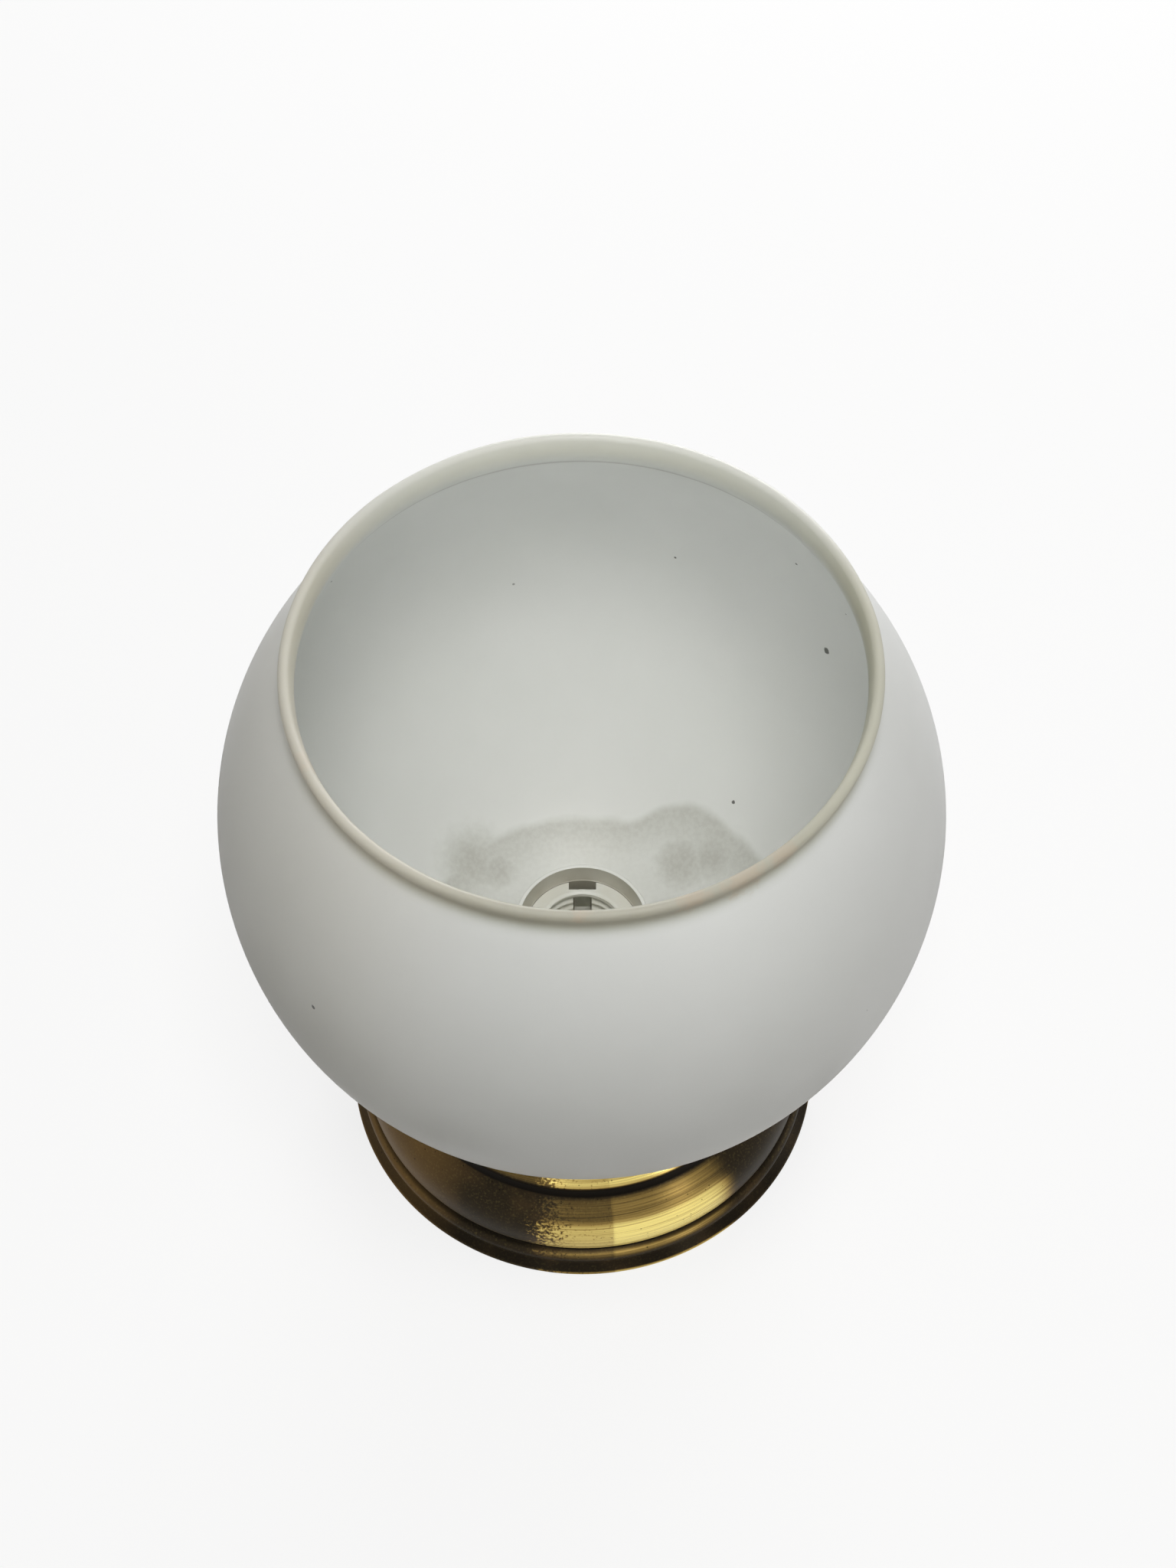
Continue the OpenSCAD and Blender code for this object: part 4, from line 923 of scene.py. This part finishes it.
# %% Cut threads
def thread_wave(low, high, pitch, depth, sharp, on_wall):
    """Moves the points of one wall, between two heights, as a thread does."""
    def wave(r, z, angle):
        if not low <= z <= high or not on_wall(r):
            return (0, 0)
        phase = 2 * math.pi * (z / pitch) - angle
        groove = (0.5 - 0.5 * math.cos(phase)) ** sharp
        fade = min(1.0, (z - low) / (pitch * 0.5), (high - z) / (pitch * 0.5))
        return (depth * groove * max(0.0, fade), 0)
    return wave


def climb(r, z0, z1, step):
    """Evenly spaced points up or down a straight wall."""
    count = max(1, round(abs(z1 - z0) / step))
    return [(r, z0 + (z1 - z0) * i / count) for i in range(count + 1)]


print("thread helpers ready")

# %% Turn the sleeve
HOLDER_TOP, INSERT_TOP, INSERT_FOOT, BORE_FOOT = 89.5, 84.5, 66.2, 72.0
SLEEVE_R, SLEEVE_BORE, SLEEVE_FOOT = 20.0, 17.3, 55.2
RING_THREAD, RING_PITCH, RING_DEPTH = (56.4, 76.5), 2.5, 0.7
sleeve_foot = [(SLEEVE_BORE, 60), (SLEEVE_BORE, SLEEVE_FOOT), (SLEEVE_R, SLEEVE_FOOT), (SLEEVE_R, 56)]
sleeve_rim = [(SLEEVE_R, 86.0), (SLEEVE_R, 88.9), (SLEEVE_R - 0.08, 89.3), (SLEEVE_R - 0.25, HOLDER_TOP),
              (SLEEVE_R - 1.0, HOLDER_TOP), (SLEEVE_R - 1.15, 89.4), (SLEEVE_R - 1.22, 89.1)]
sleeve_bore = [(17.62, 84.7), (17.5, INSERT_TOP), (SLEEVE_BORE, INSERT_TOP - 0.05), (SLEEVE_BORE, 70.0)]
sleeve_line = rounded(sleeve_foot, 0.3) + climb(SLEEVE_R, 56.2, 77.0, 0.21) + sleeve_rim + sleeve_bore
sleeve = lathe("sleeve_body", sleeve_line, "mount", [sleeve_plastic], 160,
               thread_wave(*RING_THREAD, RING_PITCH, -RING_DEPTH, 1.5, lambda r: r > 19.9))
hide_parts("holder_skirt")
print(sleeve.name, len(sleeve.data.polygons), "faces")

# %% [markdown]
# ## The insert
#
# The lamp's thread is rounder and coarser than the ring's. The insert also has a raised
# lip, a recessed floor ring and a notch where the side contact stands. A lathe can't make
# a notch, so three boxes are cut out of the turned ring with a boolean.

# %% Turn the insert and cut its notch
INSERT_R, BORE_R, MAJOR_R, LIP_R = 17.2, 12.2, 13.3, 13.9
LAMP_THREAD, LAMP_PITCH, LAMP_DEPTH = (72.2, 84.72), 3.6, 1.05
NOTCHES = [((-4.15, 14.05, 70.5), (4.15, 18, 90)), ((-2.8, 11, 60), (2.8, 18, 70.6)),
           ((-2.8, 11, 70.4), (2.8, 14.2, 81.7))]
insert_foot = [(MAJOR_R, 68), (MAJOR_R, INSERT_FOOT), (INSERT_R, INSERT_FOOT), (INSERT_R, 80)]
insert_rim = [(INSERT_R, 84.2), (INSERT_R - 0.1, 84.42), (INSERT_R - 0.3, INSERT_TOP),
              (LIP_R + 0.25, INSERT_TOP), (LIP_R + 0.05, INSERT_TOP + 0.08), (LIP_R, INSERT_TOP + 0.25),
              (LIP_R - 0.08, 85.0), (LIP_R - 0.3, 85.1), (BORE_R + 0.7, 85.1), (BORE_R + 0.35, 85.0)]
insert_seat = [(BORE_R + 0.3, BORE_FOOT), (MAJOR_R - 0.2, BORE_FOOT), (MAJOR_R, BORE_FOOT - 0.2)]
insert_line = rounded(insert_foot, 0.3) + insert_rim + climb(BORE_R, 84.7, BORE_FOOT + 0.2, 0.2) + insert_seat
insert = lathe("insert_body", insert_line, "mount", [shelf["insert_ceramic"]], 160,
               thread_wave(*LAMP_THREAD, LAMP_PITCH, LAMP_DEPTH, 0.8, lambda r: r < 12.3))
for near_corner, far_corner in NOTCHES:
    cut(insert, box_cutter(near_corner, far_corner))
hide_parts("thread_insert")
print(insert.name, len(insert.data.polygons), "faces")

# %% [markdown]
# ## The nipple
#
# A hollow threaded pipe holds the whole lamp together, and the leads pass through it. It
# is one more turn of the same lathe, with a finer thread all the way up.

# %% Turn the nipple
NIPPLE_FOOT, NIPPLE_TOP, NIPPLE_R, NIPPLE_BORE = 28.1, 54.6, 5.0, 4.0
NIPPLE_THREAD, NIPPLE_PITCH, NIPPLE_DEPTH = (28.4, 54.3), 1.0, 0.4
NIPPLE_EDGE, BORE_EDGE = 0.4, 0.3
wall_foot, wall_top = NIPPLE_FOOT + NIPPLE_EDGE, NIPPLE_TOP - NIPPLE_EDGE
nipple_line = ([(NIPPLE_BORE, wall_top), (NIPPLE_BORE, wall_foot),
                (NIPPLE_BORE + BORE_EDGE, NIPPLE_FOOT), (NIPPLE_R - NIPPLE_EDGE, NIPPLE_FOOT)]
               + climb(NIPPLE_R, wall_foot, wall_top, 0.1)
               + [(NIPPLE_R - NIPPLE_EDGE, NIPPLE_TOP), (NIPPLE_BORE + BORE_EDGE, NIPPLE_TOP)])
nipple = lathe("nipple_body", nipple_line, "mount", [shelf["steel_zinc"]], 72,
               thread_wave(*NIPPLE_THREAD, NIPPLE_PITCH, -NIPPLE_DEPTH, 1.2, lambda r: r > 4.9))
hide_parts("threaded_nipple")
print(nipple.name, len(nipple.data.polygons), "faces")

# %% [markdown]
# ## The spring under the centre contact
#
# The bulb pushes the centre contact down 2 mm, and a small coil spring pushes it back. The
# ends of such a spring are wound flat, so they sit square. The coil rides on the
# lampholder; its turns touch when it is squashed to 1.2 mm.

# %% Wind the spring
POCKET_Z, SPRING_H, SPRING_SOLID_H = 62.4, 3.2, 1.2
SPRING_R, WIRE_R, SPRING_TURNS, FLAT_TURN, SPRING_PLAY = 2.9, 0.15, 3, 0.35, 0.05


def spring_path(foot, top, steps=32):
    """A helix with flat ends."""
    points = []
    for i in range(SPRING_TURNS * steps + 1):
        turn = i / steps
        rise = min(1.0, max(0.0, (turn - FLAT_TURN) / (SPRING_TURNS - 2 * FLAT_TURN)))
        angle = 2 * math.pi * turn
        height = foot + (top - foot) * rise
        points.append(Vector((SPRING_R * math.cos(angle), SPRING_R * math.sin(angle), height)))
    return points


spring_low = POCKET_Z + WIRE_R + SPRING_PLAY
spring_high = POCKET_Z + SPRING_H - WIRE_R - SPRING_PLAY
spring = tube("spring_coil", spring_path(spring_low, spring_high), WIRE_R, "mount",
              [shelf["steel_zinc"]], 10)
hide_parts("contact_spring")
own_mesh(spring)
print(spring.name, len(spring.data.polygons), "faces, squashes from", SPRING_H, "to", SPRING_SOLID_H, "mm")

# %% [markdown]
# ## The leads
#
# Three short leads run from the terminal block: two up through the nipple to the
# lampholder, and the earth lead to the tag under the nut. The earth lead is green with two
# yellow stripes, so its tube gets two finishes, one for each run of faces.

# %% Lay the leads
WAY_PITCH, BLOCK_L, BARREL_Z = 10.0, 17.0, 6.0
POST_X, POST_Z, TAG_X, TAG_Z, LEAD_R, LEAD_GAP = 10.3, 59.2, 21.0, 42.5, 1.1, 1.7


def supply_path(side):
    """From one way of the block up through the nipple to a terminal of the lampholder."""
    up = NIPPLE_FOOT - BARREL_Z
    return [(side * WAY_PITCH, 3.2, BARREL_Z), (side * WAY_PITCH, BLOCK_L / 2 + 2, BARREL_Z),
            (side * WAY_PITCH * 0.95, BLOCK_L / 2 + 7, BARREL_Z + up * 0.14),
            (side * WAY_PITCH * 0.6, BLOCK_L * 0.74, BARREL_Z + up * 0.45),
            (side * LEAD_GAP * 1.6, BLOCK_L * 0.24, BARREL_Z + up * 0.73),
            (side * LEAD_GAP, 0.4, NIPPLE_FOOT - 1), (side * LEAD_GAP, 0, NIPPLE_FOOT + 8),
            (side * LEAD_GAP, 0, NIPPLE_TOP - 5), (side * LEAD_GAP, 0, NIPPLE_TOP - 1.2),
            (side * (LEAD_GAP + 1.6), 0, NIPPLE_TOP + 1.8), (side * (POST_X - 4.6), 0, POST_Z),
            (side * (POST_X + 1), 0, POST_Z)]


def earth_path():
    """From the block's middle way round to the tag under the nut."""
    up = TAG_Z - BARREL_Z
    return [(0, 3.2, BARREL_Z), (0, BLOCK_L / 2 + 2, BARREL_Z),
            (TAG_X * 0.14, BLOCK_L / 2 + 7, BARREL_Z + up * 0.05),
            (TAG_X * 0.48, BLOCK_L, BARREL_Z + up * 0.25),
            (TAG_X * 0.8, BLOCK_L / 2, BARREL_Z + up * 0.47), (TAG_X, 2, BARREL_Z + up * 0.84),
            (TAG_X, 0, TAG_Z - 2), (TAG_X, 0, TAG_Z + 1.2)]


for name, path, colours in (
        ("lead_live", supply_path(-1), ["lead_brown"]),
        ("lead_neutral", supply_path(1), ["lead_blue"]),
        ("lead_earth", earth_path(), ["lead_green", "lead_yellow"])):
    striped = (lambda k: int(k % 10 < 3)) if len(colours) > 1 else None
    lead = tube(name, smooth_path(path, 10), LEAD_R, "mount",
                [shelf[colour] for colour in colours], paint=striped)
    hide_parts(name.replace("lead", "wire"))
    print(name, len(lead.data.polygons), "faces")

# %% [markdown]
# ## Dress the parts that keep their CAD shape
#
# Washers, screws, gaskets, terminals and the bracket already have their true shape, so
# they keep it and only take a finish from the shelf. The finish goes into the material
# slots of the node's own mesh, and nothing else about the node changes.

# %% Give each kept node its finish
DRESS = {
    "cup_brass": ["shade_seat", "screw_washer_left", "screw_washer_right"],
    "gasket_rubber": ["shade_gasket", "clamp_gasket"],
    "slip_fibre": ["ring_washer"],
    "white_holder": ["shade_ring", "holder_cap"],
    "base_ceramic": ["contact_base"],
    "bush_plastic": ["nipple_bush"],
    "block_plastic": ["terminal_block"],
    "screw_brass": ["side_screw_left", "side_screw_right"],
    "contact_brass": ["contact_pin", "holder_terminals", "earth_tag", "terminal_sleeves", "earth_screw"],
    "steel_zinc": ["cap_grub_screw", "side_contact", "holder_terminal_screws", "nipple_nut", "lock_washer",
                   "mounting_bracket", "terminal_screws", "block_screw", "earth_washer"],
}
for finish, kept in DRESS.items():
    for name in kept:
        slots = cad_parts[name].data.materials
        slots.clear()
        slots.append(shelf[finish])
print("dressed", sum(len(kept) for kept in DRESS.values()), "of", len(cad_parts), "nodes")

# %% [markdown]
# ## The studio
#
# The lamp stands on a plain pale floor. The background is white only to rays that look at
# it, straight or in a reflection. So the floor is pale for the camera and in glass and
# metal, and greyer for the light that it throws back up. It keeps the lamp's shadow.

# %% Lay the floor
SEEN_FLOOR, FLOOR_CLOUD, BOUNCE_FLOOR = 0.95, 0.98, (0.27, 0.27 * 0.93, 0.27 * 0.83)
GLOW, GLOW_NEAR, GLOW_FAR = 0.82, 0.7, 2.6
FLOOR_HALF, FLOOR_DROP = 6.0, 0.0002


def seen_rays(tree):
    """1 for rays that look at the background, straight or by way of gloss or clear glass."""
    rays = put(tree, "LightPath").outputs
    mirrored = either(tree, rays["Is Glossy Ray"], rays["Is Transmission Ray"])
    return either(tree, rays["Is Camera Ray"], mirrored)


floor_finish, tree, shader, place = new_finish("studio_floor", Roughness=0.8)
seen = seen_rays(tree)
tone = patches(tree, place, 2.0, 0.2, 0.8)["Mask"]
pale = mix(tree, tone, (SEEN_FLOOR,) * 3, (SEEN_FLOOR * FLOOR_CLOUD,) * 3)
feed(tree, shader["Base Color"], mix(tree, seen, BOUNCE_FLOOR, pale))
white = put(tree, "Emission", {"Color": (1, 1, 1), "Strength": 1.0}).outputs[0]
away = put(tree, "VectorMath", {0: place}, operation="LENGTH").outputs["Value"]
glow = times(tree, seen, ease(tree, away, GLOW_NEAR, GLOW_FAR, GLOW, 1.0))
blend = put(tree, "MixShader", {0: glow, 1: tree.nodes["Principled BSDF"].outputs[0], 2: white})
feed(tree, tree.nodes["Material Output"].inputs["Surface"], blend.outputs[0])
sheet = bpy.data.meshes.new("studio_floor")
corners = [(x * FLOOR_HALF, y * FLOOR_HALF, 0) for x, y in ((-1, -1), (1, -1), (1, 1), (-1, 1))]
sheet.from_pydata(corners, [], [(0, 1, 2, 3)])
sheet.materials.append(floor_finish)
floor = bpy.data.objects.new("studio_floor", sheet)
floor.location.z = -FLOOR_DROP
scene.collection.objects.link(floor)
floor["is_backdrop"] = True
print("floor", [round(v, 1) for v in floor.dimensions])

# %% [markdown]
# ## Air and lamps
#
# Most of the light comes from a softbox high above the globe and from a wide one low
# behind it, which shines through the opal wall. Two narrow ones in front and a wider one
# at each side are weak: they only shape the brass and the edges of the globe. The power of
# each lamp was found by rendering it alone and adding the pictures up, because light adds.

# %% Set the air and the lamps: name, place, aim, width, height, power and tint
AIR_LIGHT, AIR_SEEN = 0.05, 1.0
air = bpy.data.worlds.new("studio_air")
scene.world = air
air.use_nodes = True
tree = air.node_tree
strength = put(tree, "MapRange", {0: seen_rays(tree), 3: AIR_LIGHT, 4: AIR_SEEN}).outputs[0]
feed(tree, tree.nodes["Background"].inputs["Color"], (1.0, 1.0, 1.0))
feed(tree, tree.nodes["Background"].inputs["Strength"], strength)


def softbox(name, place, aim, width, height, power, tint=(1, 1, 1)):
    """A rectangular lamp that points at a place. Places are in metres."""
    data = bpy.data.lights.new(name, "AREA")
    data.shape = "RECTANGLE"
    data.size, data.size_y = width, height
    data.energy, data.color = power, tint
    lamp = bpy.data.objects.new(name, data)
    lamp.location = place
    lamp.rotation_euler = (Vector(aim) - Vector(place)).to_track_quat("-Z", "Y").to_euler()
    scene.collection.objects.link(lamp)
    return lamp


MIDDLE, LOW = (0, 0, 0.12), (0, 0, 0.05)
softbox("key_window", (0.08, -0.43, 1.66), MIDDLE, 0.5, 0.5, 12.8, (1.0, 0.995, 0.97))
softbox("tall_window", (-0.30, -1.26, 0.62), LOW, 0.12, 0.6, 0.5)
softbox("side_window", (0.84, -1.00, 0.62), LOW, 0.22, 0.5, 1.8)
softbox("right_window", (1.56, 0, 0.45), MIDDLE, 0.5, 0.8, 2.2)
softbox("back_window", (0.25, 1.30, 0.45), MIDDLE, 0.9, 0.7, 12.3)
softbox("left_window", (-1.18, 0.99, 0.53), MIDDLE, 0.9, 0.7, 1.5)

# %% [markdown]
# ## Measure the size and finish
#
# The dressed lamp's box is measured and printed. The looks must not change the lamp's
# size.

# %% Measure the visual box and finish
low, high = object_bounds()
print("visual box in mm", [round(v / MM, 2) for v in (high - low)])
